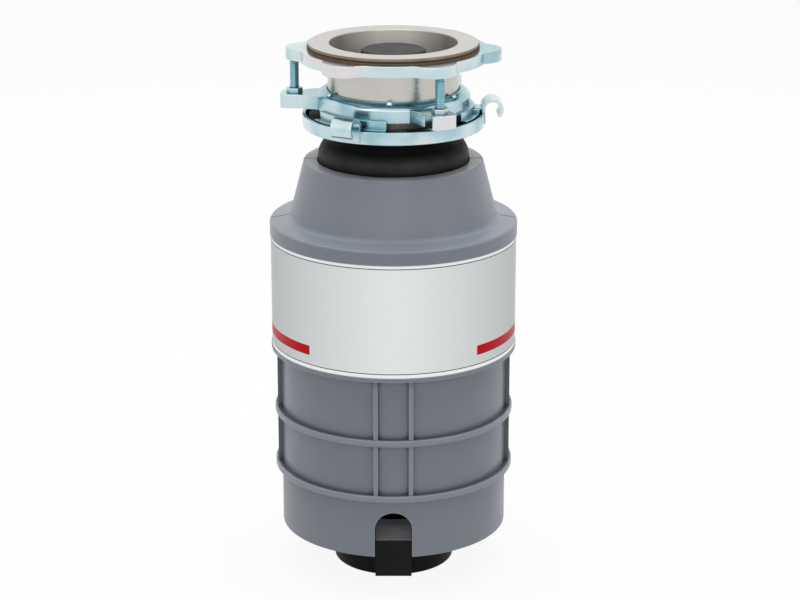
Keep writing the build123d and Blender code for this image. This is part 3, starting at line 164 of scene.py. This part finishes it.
class Surface:
    """One procedural material: a Principled shader and the nodes that feed it."""

    # A Mix node's colour sockets
    MIX_A = 6
    MIX_B = 7
    MIX_RESULT = 2

    BEVEL_SAMPLES = 10
    OPENNESS_SAMPLES = 16

    def __init__(self, name, **sockets):
        self.material = bpy.data.materials.new(name)
        self.material.use_nodes = True
        self.tree = self.material.node_tree
        self.shader = self.tree.nodes["Principled BSDF"]
        self.place = self.tree.nodes.new("ShaderNodeTexCoord").outputs["Object"]
        for socket, value in sockets.items():
            self.set(socket, value)

    def set(self, socket, value):
        """Gives one of the shader's sockets a number, a colour or a link."""
        self.feed(self.shader.inputs[socket.replace("_", " ")], value)

    def feed(self, socket, value):
        """Links a value to a socket, or sets it there."""
        if isinstance(value, bpy.types.NodeSocket):
            self.tree.links.new(value, socket)
        elif socket.type == "RGBA" and len(value) == 3:
            socket.default_value = (*value, 1.0)
        else:
            socket.default_value = value

    def math(self, operation, a, b=0.0, c=0.0):
        node = self.tree.nodes.new("ShaderNodeMath")
        node.operation = operation
        for socket, value in zip(node.inputs, (a, b, c)):
            self.feed(socket, value)
        return node.outputs[0]

    def times(self, a, b):
        return self.math("MULTIPLY", a, b)

    def above(self, value, limit):
        """1 where the value is over the limit, else 0."""
        return self.math("GREATER_THAN", value, limit)

    def below(self, value, limit):
        """1 where the value is under the limit, else 0."""
        return self.math("LESS_THAN", value, limit)

    def near(self, value, middle, half):
        """1 within half a width of the middle, else 0."""
        return self.math("COMPARE", value, middle, half)

    def axes(self):
        """X, Y and Z in the part's frame."""
        node = self.tree.nodes.new("ShaderNodeSeparateXYZ")
        self.feed(node.inputs[0], self.place)
        return node.outputs

    def around(self):
        """Angle from the front, radius and height, about the part's axis."""
        x, y, z = self.axes()
        angle = self.math("ARCTAN2", x, self.times(y, -1.0))
        squares = self.math("ADD", self.times(x, x), self.times(y, y))
        return angle, self.math("SQRT", squares), z

    def join(self, x, y, z):
        node = self.tree.nodes.new("ShaderNodeCombineXYZ")
        for socket, value in zip(node.inputs, (x, y, z)):
            self.feed(socket, value)
        return node.outputs[0]

    def stretch(self, scale):
        node = self.tree.nodes.new("ShaderNodeMapping")
        self.feed(node.inputs["Vector"], self.place)
        node.inputs["Scale"].default_value = scale
        return node.outputs[0]

    def noise(self, scale, detail=3.0, roughness=0.55, place=None):
        node = self.tree.nodes.new("ShaderNodeTexNoise")
        self.feed(node.inputs["Vector"], place or self.place)
        node.inputs["Scale"].default_value = scale
        node.inputs["Detail"].default_value = detail
        node.inputs["Roughness"].default_value = roughness
        return node.outputs["Fac"]

    def span(self, value, low, high, start=0.3, end=0.7):
        """Spreads a value from start..end over low..high."""
        node = self.tree.nodes.new("ShaderNodeMapRange")
        for socket, number in zip(node.inputs, (value, start, end, low, high)):
            self.feed(socket, number)
        return node.outputs[0]

    def share(self, value, start, end):
        """0 up to the start, 1 from the end on."""
        return self.span(value, 0.0, 1.0, start, end)

    def ramp(self, value, *stops):
        """Colours along a value; each stop is a place and a colour."""
        node = self.tree.nodes.new("ShaderNodeValToRGB")
        self.feed(node.inputs[0], value)
        elements = node.color_ramp.elements
        while len(elements) < len(stops):
            elements.new(0.5)
        for element, (place, colour) in zip(elements, stops):
            element.position = place
            element.color = (*colour, 1.0)
        return node.outputs[0]

    def shade(self, value, dark, light, start=0.3, end=0.7):
        """From a dark to a light colour as a value goes from start to end."""
        return self.ramp(value, (start, dark), (end, light))

    def mix(self, factor, a, b):
        node = self.tree.nodes.new("ShaderNodeMix")
        node.data_type = "RGBA"
        self.feed(node.inputs[0], factor)
        self.feed(node.inputs[self.MIX_A], a)
        self.feed(node.inputs[self.MIX_B], b)
        return node.outputs[self.MIX_RESULT]

    def worn_edge(self, radius):
        """Normal that rounds the edges by a radius."""
        node = self.tree.nodes.new("ShaderNodeBevel")
        node.samples = self.BEVEL_SAMPLES
        node.inputs["Radius"].default_value = radius
        return node.outputs[0]

    def openness(self, distance):
        """1 in the open, less in a corner or under a ledge nearer than the distance."""
        node = self.tree.nodes.new("ShaderNodeAmbientOcclusion")
        node.samples = self.OPENNESS_SAMPLES
        node.inputs["Distance"].default_value = distance
        return node.outputs["AO"]

    def facing(self, a, b):
        """Cosine of the angle between two normals or directions."""
        node = self.tree.nodes.new("ShaderNodeVectorMath")
        node.operation = "DOT_PRODUCT"
        self.feed(node.inputs[0], a)
        self.feed(node.inputs[1], b)
        return node.outputs["Value"]

    def normal(self):
        return self.tree.nodes.new("ShaderNodeNewGeometry").outputs["Normal"]

    def bump(self, height, strength, distance, normal=None):
        node = self.tree.nodes.new("ShaderNodeBump")
        node.inputs["Strength"].default_value = strength
        node.inputs["Distance"].default_value = distance
        self.feed(node.inputs["Height"], height)
        if normal is not None:
            self.feed(node.inputs["Normal"], normal)
        return node.outputs[0]


def moulded(name, dark, light, rough, specular=0.5, grain=700.0, painted_top_light=None):
    """Moulded plastic, ferrite or carbon: faint clouding, a fine grain and uneven gloss.

    Painted light on its top, where any is given, has two colours: at its open edge, and further in,
    where it is brighter against the shade there.
    """
    s = Surface(name, Specular_IOR_Level=specular)
    colour = s.shade(s.noise(scale=9.0, detail=4.0), dark, light)
    # Painted light: the wiring box's top, where given, turns paler, more so further in
    if painted_top_light:
        _, y, z = s.axes()
        upward = s.share(s.facing(s.normal(), UP), start=0.6, end=1.0)
        layer = s.mix(s.share(y, *PAINTED_LIGHT_Y), *painted_top_light)
        colour = s.mix(s.times(upward, s.above(z, PAINTED_LIGHT_Z)), colour, layer)
    s.set("Base_Color", colour)
    s.set("Roughness", s.span(s.noise(scale=60.0, detail=5.0), *rough))
    grains = s.noise(scale=grain, detail=2.0)
    rounded = s.worn_edge(radius=0.0005)
    s.set("Normal", s.bump(grains, strength=0.35, distance=0.00006, normal=rounded))
    return s.material


def casing_plastic():
    """Grey moulding with a fine grain and a dark line where its halves meet.

    Painted shade darkens its corners and the walls of its ribs. Painted highlights make its crests,
    outer edges and the collar's top paler.
    """
    dark_grey = (0.149, 0.167, 0.198)
    light_grey = (0.170, 0.188, 0.221)
    lit_crest_grey = (0.192, 0.212, 0.246)
    edge_highlight_grey = (0.33, 0.35, 0.38)
    lit_collar_grey = (0.244, 0.253, 0.268)
    casing_shade_black = (0.018, 0.021, 0.028)
    seam_black = (0.030, 0.033, 0.038)
    wall_shade = 0.75

    s = Surface("grey_casing")
    x, y, _ = s.axes()
    _, radius, height = s.around()
    moulding = s.shade(s.noise(scale=9.0, detail=4.0), dark_grey, light_grey)

    # Painted highlight: the crests of ribs and uprights below the band turn paler
    on_skirt = s.below(height, RIB_TOP_Z)
    crest = s.times(s.share(radius, *RIB_LIT_CREST_R), on_skirt)
    ribbed = s.mix(crest, moulding, lit_crest_grey)

    # Painted shade: the steep walls of ribs and uprights turn darker
    outward = s.join(s.math("DIVIDE", x, radius), s.math("DIVIDE", y, radius), 0.0)
    tilt = s.facing(s.normal(), outward)
    steep = s.span(tilt, low=wall_shade, high=0.0, start=0.10, end=0.75)
    proud = s.times(s.above(radius, RIB_WALL_R), on_skirt)
    walled = s.mix(s.times(steep, proud), ribbed, casing_shade_black)

    # Painted shade: corners and hollows turn darker
    open_air = s.openness(distance=0.006)
    shaded = s.mix(s.share(open_air, start=0.32, end=0.70), casing_shade_black, walled)

    # Painted highlight: outer edges in the open turn paler
    rounded = s.worn_edge(radius=0.0009)
    bend = s.facing(rounded, s.normal())
    edge = s.span(bend, low=1.0, high=0.0, start=0.90, end=0.995)
    edge_highlight = s.times(edge, s.share(open_air, start=0.86, end=0.99))
    edge_highlighted = s.mix(edge_highlight, shaded, edge_highlight_grey)

    # Painted light: upward faces above the collar's level turn paler
    level = s.share(s.facing(s.normal(), UP), start=0.85, end=1.0)
    topped = s.mix(s.times(level, s.above(height, LIT_COLLAR_Z)), edge_highlighted, lit_collar_grey)

    s.set("Base_Color", s.mix(s.near(y, 0.0, SEAM_HALF), topped, seam_black))
    s.set("Roughness", s.span(s.noise(scale=60.0, detail=5.0), low=0.31, high=0.40))
    grains = s.noise(scale=700.0, detail=2.0)
    s.set("Normal", s.bump(grains, strength=0.18, distance=0.00004, normal=rounded))
    return s.material


def drawn_stainless():
    """Stainless steel with fine lines round it: polished outside, satin in the throat, with painted
    shade and sheen in the throat and a painted dark reflection on the rim's edge.
    """
    polished = ((0.49, 0.473, 0.445), (0.625, 0.604, 0.570))
    throat_shaded_side = ((0.24, 0.210, 0.175), (0.33, 0.293, 0.245))
    throat_lit_back = ((0.70, 0.68, 0.62), (0.86, 0.84, 0.77))
    rim_edge_reflection = (0.235, 0.184, 0.136)
    satin_metal = 0.45
    satin_rough = 0.24
    along = 1.6
    across = 5200.0

    s = Surface("stainless")
    angle, radius, height = s.around()
    place = s.join(s.times(angle, along), s.times(radius, across), s.times(height, across))
    lines = s.noise(scale=1.0, detail=4.0, roughness=0.65, place=place)

    def lined(dark, light):
        return s.shade(lines, dark, light, start=0.25, end=0.75)

    # Painted shade on the throat's sides and a painted sheen at its back
    satin = s.below(radius, SATIN_R)
    sheen = s.share(s.math("ABSOLUTE", angle), *THROAT_SHEEN)
    throat = s.mix(sheen, lined(*throat_shaded_side), lined(*throat_lit_back))
    # Painted reflection: the rim's outer edge turns a dark brown
    edge = s.times(s.above(radius, RIM_EDGE_R), s.below(height, RIM_EDGE_Z))
    s.set("Base_Color", s.mix(edge, s.mix(satin, lined(*polished), throat), rim_edge_reflection))
    s.set("Metallic", s.span(satin, low=1.0, high=satin_metal, start=0.0, end=1.0))
    gloss = s.span(lines, low=0.20, high=0.32)
    s.set("Roughness", s.math("ADD", gloss, s.times(satin, satin_rough)))
    rounded = s.worn_edge(radius=0.0004)
    s.set("Normal", s.bump(lines, strength=0.25, distance=0.000012, normal=rounded))
    return s.material


def zinc_plate(name, *shades):
    """Bright zinc plate in patches of the shades given, with painted shade, bluer and darker, in its
    hollows.
    """
    hollow_shade_blue = (0.26, 0.47, 0.53)
    corner_shade_blue = (0.05, 0.13, 0.16)
    first_stop = 0.37
    stops_reach = 0.26

    s = Surface(name, Metallic=1.0)
    step = stops_reach / (len(shades) - 1)
    stops = [(first_stop + step * i, shade) for i, shade in enumerate(shades)]
    bright = s.ramp(s.noise(scale=26.0, detail=2.5, roughness=0.5), *stops)
    # Painted shade: bluer and darker in hollows and corners
    off_hollow = s.share(s.openness(distance=0.030), start=0.40, end=0.95)
    off_corner = s.share(s.openness(distance=0.006), start=0.30, end=0.75)
    s.set("Base_Color", s.mix(off_corner, corner_shade_blue, s.mix(off_hollow, hollow_shade_blue, bright)))
    scuffs = s.noise(scale=1.0, detail=5.0, roughness=0.7, place=s.stretch((900.0, 900.0, 260.0)))
    s.set("Roughness", s.span(scuffs, low=0.15, high=0.27))
    dents = s.noise(scale=140.0, detail=3.0)
    rounded = s.worn_edge(radius=0.0006)
    pressed = s.bump(dents, strength=0.12, distance=0.00012, normal=rounded)
    s.set("Normal", s.bump(scuffs, strength=0.10, distance=0.00003, normal=pressed))
    return s.material


def plain_metal(name, dark, light, rough):
    """Machined, pressed or cast metal with faint blotches and fine scuffs."""
    s = Surface(name, Metallic=1.0)
    s.set("Base_Color", s.shade(s.noise(scale=40.0, detail=4.0), dark, light))
    scuffs = s.noise(scale=1.0, detail=4.0, roughness=0.7, place=s.stretch((700.0, 700.0, 200.0)))
    s.set("Roughness", s.span(scuffs, *rough))
    s.set("Normal", s.bump(scuffs, strength=0.15, distance=0.00003))
    return s.material


def moulded_rubber(name, dark, light, bloom_shade_r):
    """Rubber with a matt bloom in clouds over a fine pebbled skin, painted near-black as shade inside
    a radius and in its hollows.
    """
    painted_shade_black = (0.0008, 0.0008, 0.0008)

    s = Surface(name, Specular_IOR_Level=0.06)
    bloom = s.shade(s.noise(scale=45.0, detail=5.0), dark, light, start=0.35, end=0.75)
    _, radius, _ = s.around()
    # Painted shade: near-black in hollows and inside the bloom's radii, at the waist
    open_air = s.share(s.openness(distance=0.035), start=0.40, end=0.85)
    s.set("Base_Color", s.mix(s.times(open_air, s.share(radius, *bloom_shade_r)), painted_shade_black, bloom))
    s.set("Roughness", s.span(s.noise(scale=120.0, detail=4.0), low=0.42, high=0.58))
    pebbles = s.noise(scale=1500.0, detail=2.0)
    s.set("Normal", s.bump(pebbles, strength=0.25, distance=0.00005))
    return s.material


def fibre_board():
    """Pressed fibre: brown, with matted fibres lying in the sheet, and painted darker at its upper
    face as shade under the rim.
    """
    pale_brown = ((0.12, 0.075, 0.045), (0.27, 0.185, 0.120))
    shaded_brown = ((0.022, 0.012, 0.005), (0.085, 0.047, 0.020))

    s = Surface("fibre_board", Specular_IOR_Level=0.3)
    place = s.stretch((420.0, 420.0, 2600.0))
    fibres = s.noise(scale=1.0, detail=5.0, roughness=0.7, place=place)

    def matted(dark, light):
        return s.shade(fibres, dark, light, start=0.30, end=0.75)

    # Painted shade: the upper face, under the rim, is darker
    _, _, z = s.axes()
    s.set("Base_Color", s.mix(s.share(z, *FIBRE_SHADE_Z), matted(*pale_brown), matted(*shaded_brown)))
    s.set("Roughness", s.span(fibres, low=0.62, high=0.80))
    s.set("Normal", s.bump(fibres, strength=0.5, distance=0.00012))
    return s.material


def label_foil():
    """Brushed silver foil with a hairline along each edge and a red stripe at each side, painted
    darker towards its sides as shade.
    """
    dark_silver = (0.71, 0.74, 0.74)
    light_silver = (0.82, 0.85, 0.85)
    cloud_silver = (0.76, 0.785, 0.79)
    shaded_side_silver = (0.44, 0.465, 0.47)
    border_silver = (0.88, 0.90, 0.90)
    stripe_red = (0.44, 0.005, 0.008)
    hairline_black = (0.05, 0.055, 0.055)
    side_curve = 1.4
    foil_metal = 0.45
    along = 3.0
    across = 4200.0

    s = Surface("label_foil")
    angle, _, height = s.around()
    turn = s.math("ABSOLUTE", angle)
    place = s.join(s.times(angle, along), s.times(height, across), 0.0)
    brushing = s.noise(scale=1.0, detail=4.0, roughness=0.6, place=place)
    lines = s.shade(brushing, dark_silver, light_silver, start=0.25, end=0.75)
    clouds = s.span(s.noise(scale=7.0, detail=2.0), low=0.0, high=0.35)
    brushed = s.mix(clouds, lines, cloud_silver)

    # Painted shade: the foil darkens towards its sides
    side = s.math("POWER", s.share(turn, start=0.0, end=LABEL_SHADE_SIDE), side_curve)
    low, high = HAIRLINES
    border = s.math("MAXIMUM", s.below(height, low), s.above(height, high))
    silver = s.mix(border, s.mix(side, brushed, shaded_side_silver), border_silver)

    stripe = s.times(s.near(height, STRIPE_Z, STRIPE_HALF), s.above(turn, STRIPE_START))
    hairline = s.math("ADD", *(s.near(height, level, HAIRLINE_HALF) for level in HAIRLINES))
    printed = s.mix(stripe, silver, stripe_red)
    s.set("Base_Color", s.mix(hairline, printed, hairline_black))
    ink = s.math("MAXIMUM", stripe, hairline)
    s.set("Metallic", s.span(ink, low=foil_metal, high=1.0, start=0.0, end=1.0))
    s.set("Roughness", s.span(brushing, low=0.36, high=0.50))
    s.set("Normal", s.bump(brushing, strength=0.12, distance=0.00002))
    return s.material


def wound_copper():
    """Varnished copper wire lying in turns about the rotor's axis."""
    dark_copper = (0.40, 0.155, 0.055)
    light_copper = (0.62, 0.28, 0.12)
    phase_per_metre = 6800.0

    s = Surface("wound_copper", Metallic=0.85, Coat_Weight=0.4)
    _, radius, height = s.around()
    wire = s.math("SINE", s.times(s.math("ADD", radius, height), phase_per_metre))
    patches = s.noise(scale=60.0, detail=4.0)
    s.set("Base_Color", s.shade(patches, dark_copper, light_copper))
    s.set("Roughness", s.span(s.noise(scale=200.0), low=0.28, high=0.42))
    s.set("Normal", s.bump(wire, strength=0.6, distance=0.0003))
    return s.material


def smooth(obj, angle=32.0):
    """Smooth shading, with edges sharper than the angle left crisp."""
    obj.data.shade_smooth()
    obj.data.set_sharp_from_angle(angle=math.radians(angle))


def piece(name, bm, body, slot, material, *replaced):
    """Makes a mesh piece that rides on a body, and stands for the nodes named."""
    bmesh.ops.recalc_face_normals(bm, faces=bm.faces)
    mesh = bpy.data.meshes.new(name)
    bm.to_mesh(mesh)
    bm.free()
    obj = bpy.data.objects.new(name, mesh)
    bpy.context.scene.collection.objects.link(obj)
    mesh.materials.append(material)
    smooth(obj)
    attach(obj, body)
    if replaced:
        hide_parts(*replaced)


def polar(radius, turn, height):
    """A point in metres from millimetres and an angle in radians."""
    return Vector((radius * math.cos(turn), radius * math.sin(turn), height)) * MM


def lathe(bm, profile, steps=128):
    """Turns a closed profile of (radius, height) points about Z."""
    rings = []
    for step in range(steps):
        turn = 2 * math.pi * step / steps
        rings.append([bm.verts.new(polar(r, turn, z)) for r, z in profile])
    for ring, after in zip(rings, rings[1:] + rings[:1]):
        for j in range(len(profile)):
            k = (j + 1) % len(profile)
            bm.faces.new((ring[j], after[j], after[k], ring[k]))


def curve_through(points, steps=4):
    """Points on a smooth curve through the points given, ends included."""
    path = []
    count = len(points)
    for i in range(count - 1):
        p0 = points[max(i - 1, 0)]
        p1, p2 = points[i], points[i + 1]
        p3 = points[min(i + 2, count - 1)]
        for step in range(steps):
            t = step / steps
            path.append(tuple(
                0.5 * (2 * b + (c - a) * t + (2 * a - 5 * b + 4 * c - d) * t**2
                       + (3 * b - a - 3 * c + d) * t**3)
                for a, b, c, d in zip(p0, p1, p2, p3)
            ))
    path.append(points[-1])
    return path


# Materials, by the slots in the record
black_rubber = moulded_rubber(
    "black_rubber", dark=(0.039, 0.0374, 0.039), light=(0.074, 0.0708, 0.074), bloom_shade_r=BLOOM_SHADE_R,
)
finishes = {
    "stainless": drawn_stainless(),
    "zinc_plate": zinc_plate(
        "zinc_plate",
        (0.35, 0.55, 0.61), (0.55, 0.70, 0.735), (0.66, 0.75, 0.775), (0.73, 0.71, 0.72),
    ),
    "fibre": fibre_board(),
    "black_rubber": black_rubber,
    "stopper_plastic": moulded(
        "stopper_plastic", dark=(0.009, 0.0087, 0.009), light=(0.016, 0.0155, 0.016),
        rough=(0.40, 0.55), specular=0.15,
    ),
    "grey_casing": casing_plastic(),
    "label_foil": label_foil(),
    # The black plastic carries painted light on the wiring box's top
    "black_plastic": moulded(
        "black_plastic", dark=(0.008, 0.008, 0.0088), light=(0.013, 0.013, 0.0143),
        rough=(0.36, 0.50), specular=0.06, painted_top_light=((0.20, 0.196, 0.212), (0.76, 0.74, 0.80)),
    ),
    "red_plastic": moulded(
        "red_plastic", dark=(0.46, 0.018, 0.018), light=(0.56, 0.026, 0.024), rough=(0.24, 0.36),
    ),
    "chamber_plastic": moulded(
        "chamber_plastic", dark=(0.022, 0.023, 0.025), light=(0.036, 0.037, 0.040),
        rough=(0.42, 0.58), specular=0.3, grain=420.0,
    ),
    "motor_steel": plain_metal(
        "motor_steel", dark=(0.34, 0.34, 0.35), light=(0.50, 0.50, 0.51), rough=(0.28, 0.45),
    ),
    "cast_frame": plain_metal(
        "cast_frame", dark=(0.52, 0.53, 0.54), light=(0.66, 0.67, 0.68), rough=(0.42, 0.62),
    ),
    "magnet": moulded(
        "ferrite", dark=(0.060, 0.060, 0.066), light=(0.105, 0.105, 0.112),
        rough=(0.60, 0.80), specular=0.4, grain=500.0,
    ),
    "copper": wound_copper(),
    "bronze": plain_metal(
        "bronze", dark=(0.38, 0.24, 0.10), light=(0.56, 0.38, 0.18), rough=(0.34, 0.52),
    ),
    "carbon": moulded(
        "carbon", dark=(0.016, 0.016, 0.017), light=(0.034, 0.034, 0.035),
        rough=(0.50, 0.70), specular=0.4, grain=900.0,
    ),
}
for subpart in frame["record"]["subparts"]:
    slots = nodes[subpart["node"]].data.materials
    slots.clear()
    slots.append(finishes[subpart["material_slot"]])


def mount_profile():
    """The rubber mount: a fat bead over the neck's lip, a waist and a flange in the lock ring."""
    flange_bore, flange_r = MOUNT_FLANGE_R
    flange_under, flange_top = MOUNT_FLANGE_Z
    lip_under, lip_top = LIP_Z
    step_z = SLEEVE_END_Z + FIT
    return curve_through(MOUNT_BEAD) + [
        (MOUNT_THROAT_R, flange_under),
        (flange_r - MOUNT_FLANGE_EDGE, flange_under),
        (flange_r, flange_under + MOUNT_FLANGE_UNDER_EDGE),
        (flange_r, flange_top - MOUNT_FLANGE_EDGE),
        (flange_r - MOUNT_FLANGE_EDGE, flange_top),
        (flange_bore, flange_top),
        (SLEEVE_R + MOUNT_SLEEVE_GAP, step_z),
        (MOUNT_BORE_R, step_z),
        (MOUNT_BORE_R, lip_top + FIT),
        (LIP_R + FIT, lip_top + FIT),
        (LIP_R + FIT, lip_under - FIT),
        (NECK_R + FIT, lip_under - FIT),
        (NECK_R + FIT, MOUNT_FOOT_Z),
    ]


cushion = bmesh.new()
lathe(cushion, mount_profile())
piece("mounting_cushion_rubber", cushion, "disposer", "black_rubber", black_rubber, "mounting_cushion")


def guard_profile():
    """The splash guard's collar, with its web as far as the slits."""
    inner = GUARD_R - GUARD_WALL
    foot = SLEEVE_END_Z + FIT
    foot_side = SLEEVE_END_Z + GUARD_EDGE
    web_top = GUARD_WEB_Z + GUARD_WEB_T / 2
    web_under = GUARD_WEB_Z - GUARD_WEB_T / 2
    return [
        (GUARD_R - GUARD_FOOT_EDGE, foot),
        (GUARD_R, foot_side),
        (GUARD_R, GUARD_TOP_Z - GUARD_EDGE),
        (GUARD_R - GUARD_EDGE, GUARD_TOP_Z),
        (inner + GUARD_EDGE, GUARD_TOP_Z),
        (inner, GUARD_TOP_Z - GUARD_EDGE),
        (inner, web_top + GUARD_FILLET),
        (inner - GUARD_FILLET_MIDDLE, web_top + GUARD_FILLET_MIDDLE),
        (inner - GUARD_FILLET, web_top),
        (GUARD_SLIT_R - FIT, web_top),
        (GUARD_SLIT_R - FIT, web_under),
        (inner - GUARD_UNDER_FILLET, web_under),
        (inner, web_under - GUARD_UNDER_FILLET),
        (inner, foot_side),
        (inner + GUARD_FOOT_EDGE, foot),
    ]


def petal(bm, start, span, across=6, along=7):
    """One drooping petal of the splash guard's web, thick all over."""
    rows = []
    for i in range(along + 1):
        t = i / along
        radius = GUARD_SLIT_R + (GUARD_MOUTH_R - GUARD_SLIT_R) * t
        level = GUARD_WEB_Z - GUARD_DROOP * t * t
        trim = GUARD_SLIT / 2 / radius
        row = []
        for j in range(across + 1):
            turn = start + trim + (span - 2 * trim) * j / across
            row.append((
                bm.verts.new(polar(radius, turn, level + GUARD_WEB_T / 2)),
                bm.verts.new(polar(radius, turn, level - GUARD_WEB_T / 2)),
            ))
        rows.append(row)
    for row, after in zip(rows, rows[1:]):
        for a, b, c, d in zip(row, row[1:], after[1:], after):
            bm.faces.new((a[0], b[0], c[0], d[0]))
            bm.faces.new((d[1], c[1], b[1], a[1]))
        for edge in (0, -1):
            bm.faces.new((row[edge][0], after[edge][0], after[edge][1], row[edge][1]))
    for row in (rows[0], rows[-1]):
        for a, b in zip(row, row[1:]):
            bm.faces.new((a[0], a[1], b[1], b[0]))


guard = bmesh.new()
lathe(guard, guard_profile())
petal_span = 2 * math.pi / GUARD_PETALS
for number in range(GUARD_PETALS):
    petal(guard, number * petal_span, petal_span)
piece("splash_guard_rubber", guard, "disposer", "black_rubber", black_rubber, "splash_guard")


def seal_profile():
    """The stopper's seal: a rounded ring with a groove round its edge."""
    inner, outer = SEAL_R
    under, top = SEAL_Z
    return [
        (inner + SEAL_BORE_EDGE, under),
        (outer - SEAL_EDGE, under),
        (outer, under + SEAL_EDGE_RISE),
        (outer, SEAL_GROOVE_Z - SEAL_GROOVE_HALF),
        (outer - SEAL_EDGE, SEAL_GROOVE_Z),
        (outer, SEAL_GROOVE_Z + SEAL_GROOVE_HALF),
        (outer, top - SEAL_EDGE_DROP),
        (outer - SEAL_EDGE, top),
        (inner + SEAL_BORE_EDGE, top),
        (inner, top - SEAL_BORE_RISE),
        (inner, under + SEAL_BORE_RISE),
    ]


seal = bmesh.new()
lathe(seal, seal_profile())
piece("stopper_seal_rubber", seal, "stopper", "black_rubber", black_rubber, "stopper_seal")


def threaded_rod(bm, centre, steps=24, rows_per_turn=6):
    """A screw with a real thread that runs out at both ends."""
    length = SCREW_TOP_Z - SCREW_Z
    rows = int(length / SCREW_PITCH * rows_per_turn)
    rings = []
    for row in range(rows + 1):
        height = length * row / rows
        fade = min(1.0, height / SCREW_PITCH, (length - height) / SCREW_PITCH)
        ring = []
        for step in range(steps):
            share = step / steps
            phase = (height / SCREW_PITCH - share) % 1.0
            crest = min(1.0, max(0.0, THREAD_TOP - abs(phase - 0.5) * THREAD_SLOPE))
            radius = SCREW_ROOT_R + (SCREW_R - SCREW_ROOT_R) * crest * fade
            ring.append(bm.verts.new(centre + polar(radius, 2 * math.pi * share, SCREW_Z + height)))
        rings.append(ring)
    for ring, after in zip(rings, rings[1:]):
        for j in range(steps):
            k = (j + 1) % steps
            bm.faces.new((ring[j], ring[k], after[k], after[j]))
    bm.faces.new(rings[0])
    bm.faces.new(rings[-1])


blue_zinc = zinc_plate("blue_zinc", (0.20, 0.43, 0.50), (0.30, 0.53, 0.60))
screws = bmesh.new()
for degrees in SCREW_ANGLES:
    threaded_rod(screws, polar(SCREW_CIRCLE_R, math.radians(degrees), 0.0))
piece("clamp_screws_threaded", screws, "clamp", "zinc_plate", blue_zinc, "clamp_screws")


def seen_rays(tree):
    """1 for rays that show a background: from the camera, a mirror or glass."""
    path = tree.nodes.new("ShaderNodeLightPath").outputs
    seen = path["Is Camera Ray"]
    for name in ("Is Glossy Ray", "Is Transmission Ray"):
        node = tree.nodes.new("ShaderNodeMath")
        node.operation = "MAXIMUM"
        tree.links.new(seen, node.inputs[0])
        tree.links.new(path[name], node.inputs[1])
        seen = node.outputs[0]
    return seen


def blend(tree, factor, a, b, output):
    """Sends a mix of two shaders to an output node."""
    node = tree.nodes.new("ShaderNodeMixShader")
    for socket, value in zip(node.inputs, (factor, a.outputs[0], b.outputs[0])):
        tree.links.new(value, socket)
    tree.links.new(node.outputs[0], tree.nodes[output].inputs["Surface"])


def floor_paint():
    """Grey paint that glows where it is seen, so that the floor looks white and its shade stays."""
    material = bpy.data.materials.new("floor")
    material.use_nodes = True
    tree = material.node_tree
    paint = tree.nodes["Principled BSDF"]
    paint.inputs["Base Color"].default_value = (*FLOOR_GREY, 1.0)
    paint.inputs["Roughness"].default_value = FLOOR_ROUGHNESS
    glow = tree.nodes.new("ShaderNodeEmission")
    glow.inputs["Strength"].default_value = 1.0
    share = tree.nodes.new("ShaderNodeMath")
    share.operation = "MULTIPLY"
    tree.links.new(seen_rays(tree), share.inputs[0])
    share.inputs[1].default_value = FLOOR_GLOW_SHARE
    blend(tree, share.outputs[0], paint, glow, "Material Output")
    return material


floor_corners = [(-1, -1), (1, -1), (1, 1), (-1, 1)]
floor_mesh = bpy.data.meshes.new("floor")
floor_mesh.from_pydata(
    [(x * FLOOR_HALF, y * FLOOR_HALF, 0.0) for x, y in floor_corners], [], [(0, 1, 2, 3)],
)
floor_mesh.materials.append(floor_paint())
floor = bpy.data.objects.new("floor", floor_mesh)
bpy.context.scene.collection.objects.link(floor)


def studio_world():
    """White where it is seen, softer as a light."""
    world = bpy.data.worlds.new("studio")
    world.use_nodes = True
    tree = world.node_tree
    fill = tree.nodes["Background"]
    seen = tree.nodes.new("ShaderNodeBackground")
    for background, strength in ((fill, WORLD_FILL), (seen, 1.0)):
        background.inputs["Color"].default_value = (*WHITE, 1.0)
        background.inputs["Strength"].default_value = strength
    blend(tree, seen_rays(tree), fill, seen, "World Output")
    return world


bpy.context.scene.world = studio_world()


def softbox(name, place, size, power, mirrored=True):
    """A lamp that faces the middle of the part, and may be left out of reflections."""
    lamp = bpy.data.lights.new(name, "AREA")
    lamp.shape = "RECTANGLE"
    lamp.size, lamp.size_y = size
    lamp.energy = power
    obj = bpy.data.objects.new(name, lamp)
    obj.location = place
    aim = Vector(LAMP_AIM) - Vector(place)
    obj.rotation_euler = aim.to_track_quat("-Z", "Y").to_euler()
    obj.visible_glossy = mirrored
    bpy.context.scene.collection.objects.link(obj)


# The strong lamp above is left out of reflections, and a weak one in its place is mirrored
softbox("key", place=(-1.3, -1.6, 1.5), size=(1.0, 1.4), power=4.8)
softbox("fill", place=(1.7, -1.1, 1.0), size=(0.9, 1.4), power=3.2)
softbox("front", place=(0.1, -2.3, 1.1), size=(2.2, 1.3), power=8.0)
softbox("top", CEILING, CEILING_SIZE, power=98.0, mirrored=False)
softbox("sky", CEILING, CEILING_SIZE, power=7.0)

# Camera at the photograph's angle
camera_data = bpy.data.cameras.new("camera")
camera_data.sensor_width = CAMERA_SENSOR
camera_data.lens = CAMERA_LENS
camera = bpy.data.objects.new("camera", camera_data)
camera.location = CAMERA_PLACE
camera.rotation_euler = (math.radians(90.0 - CAMERA_DOWN), 0.0, 0.0)
bpy.context.scene.collection.objects.link(camera)
bpy.context.scene.camera = camera

bpy.context.scene.view_settings.view_transform = "Standard"
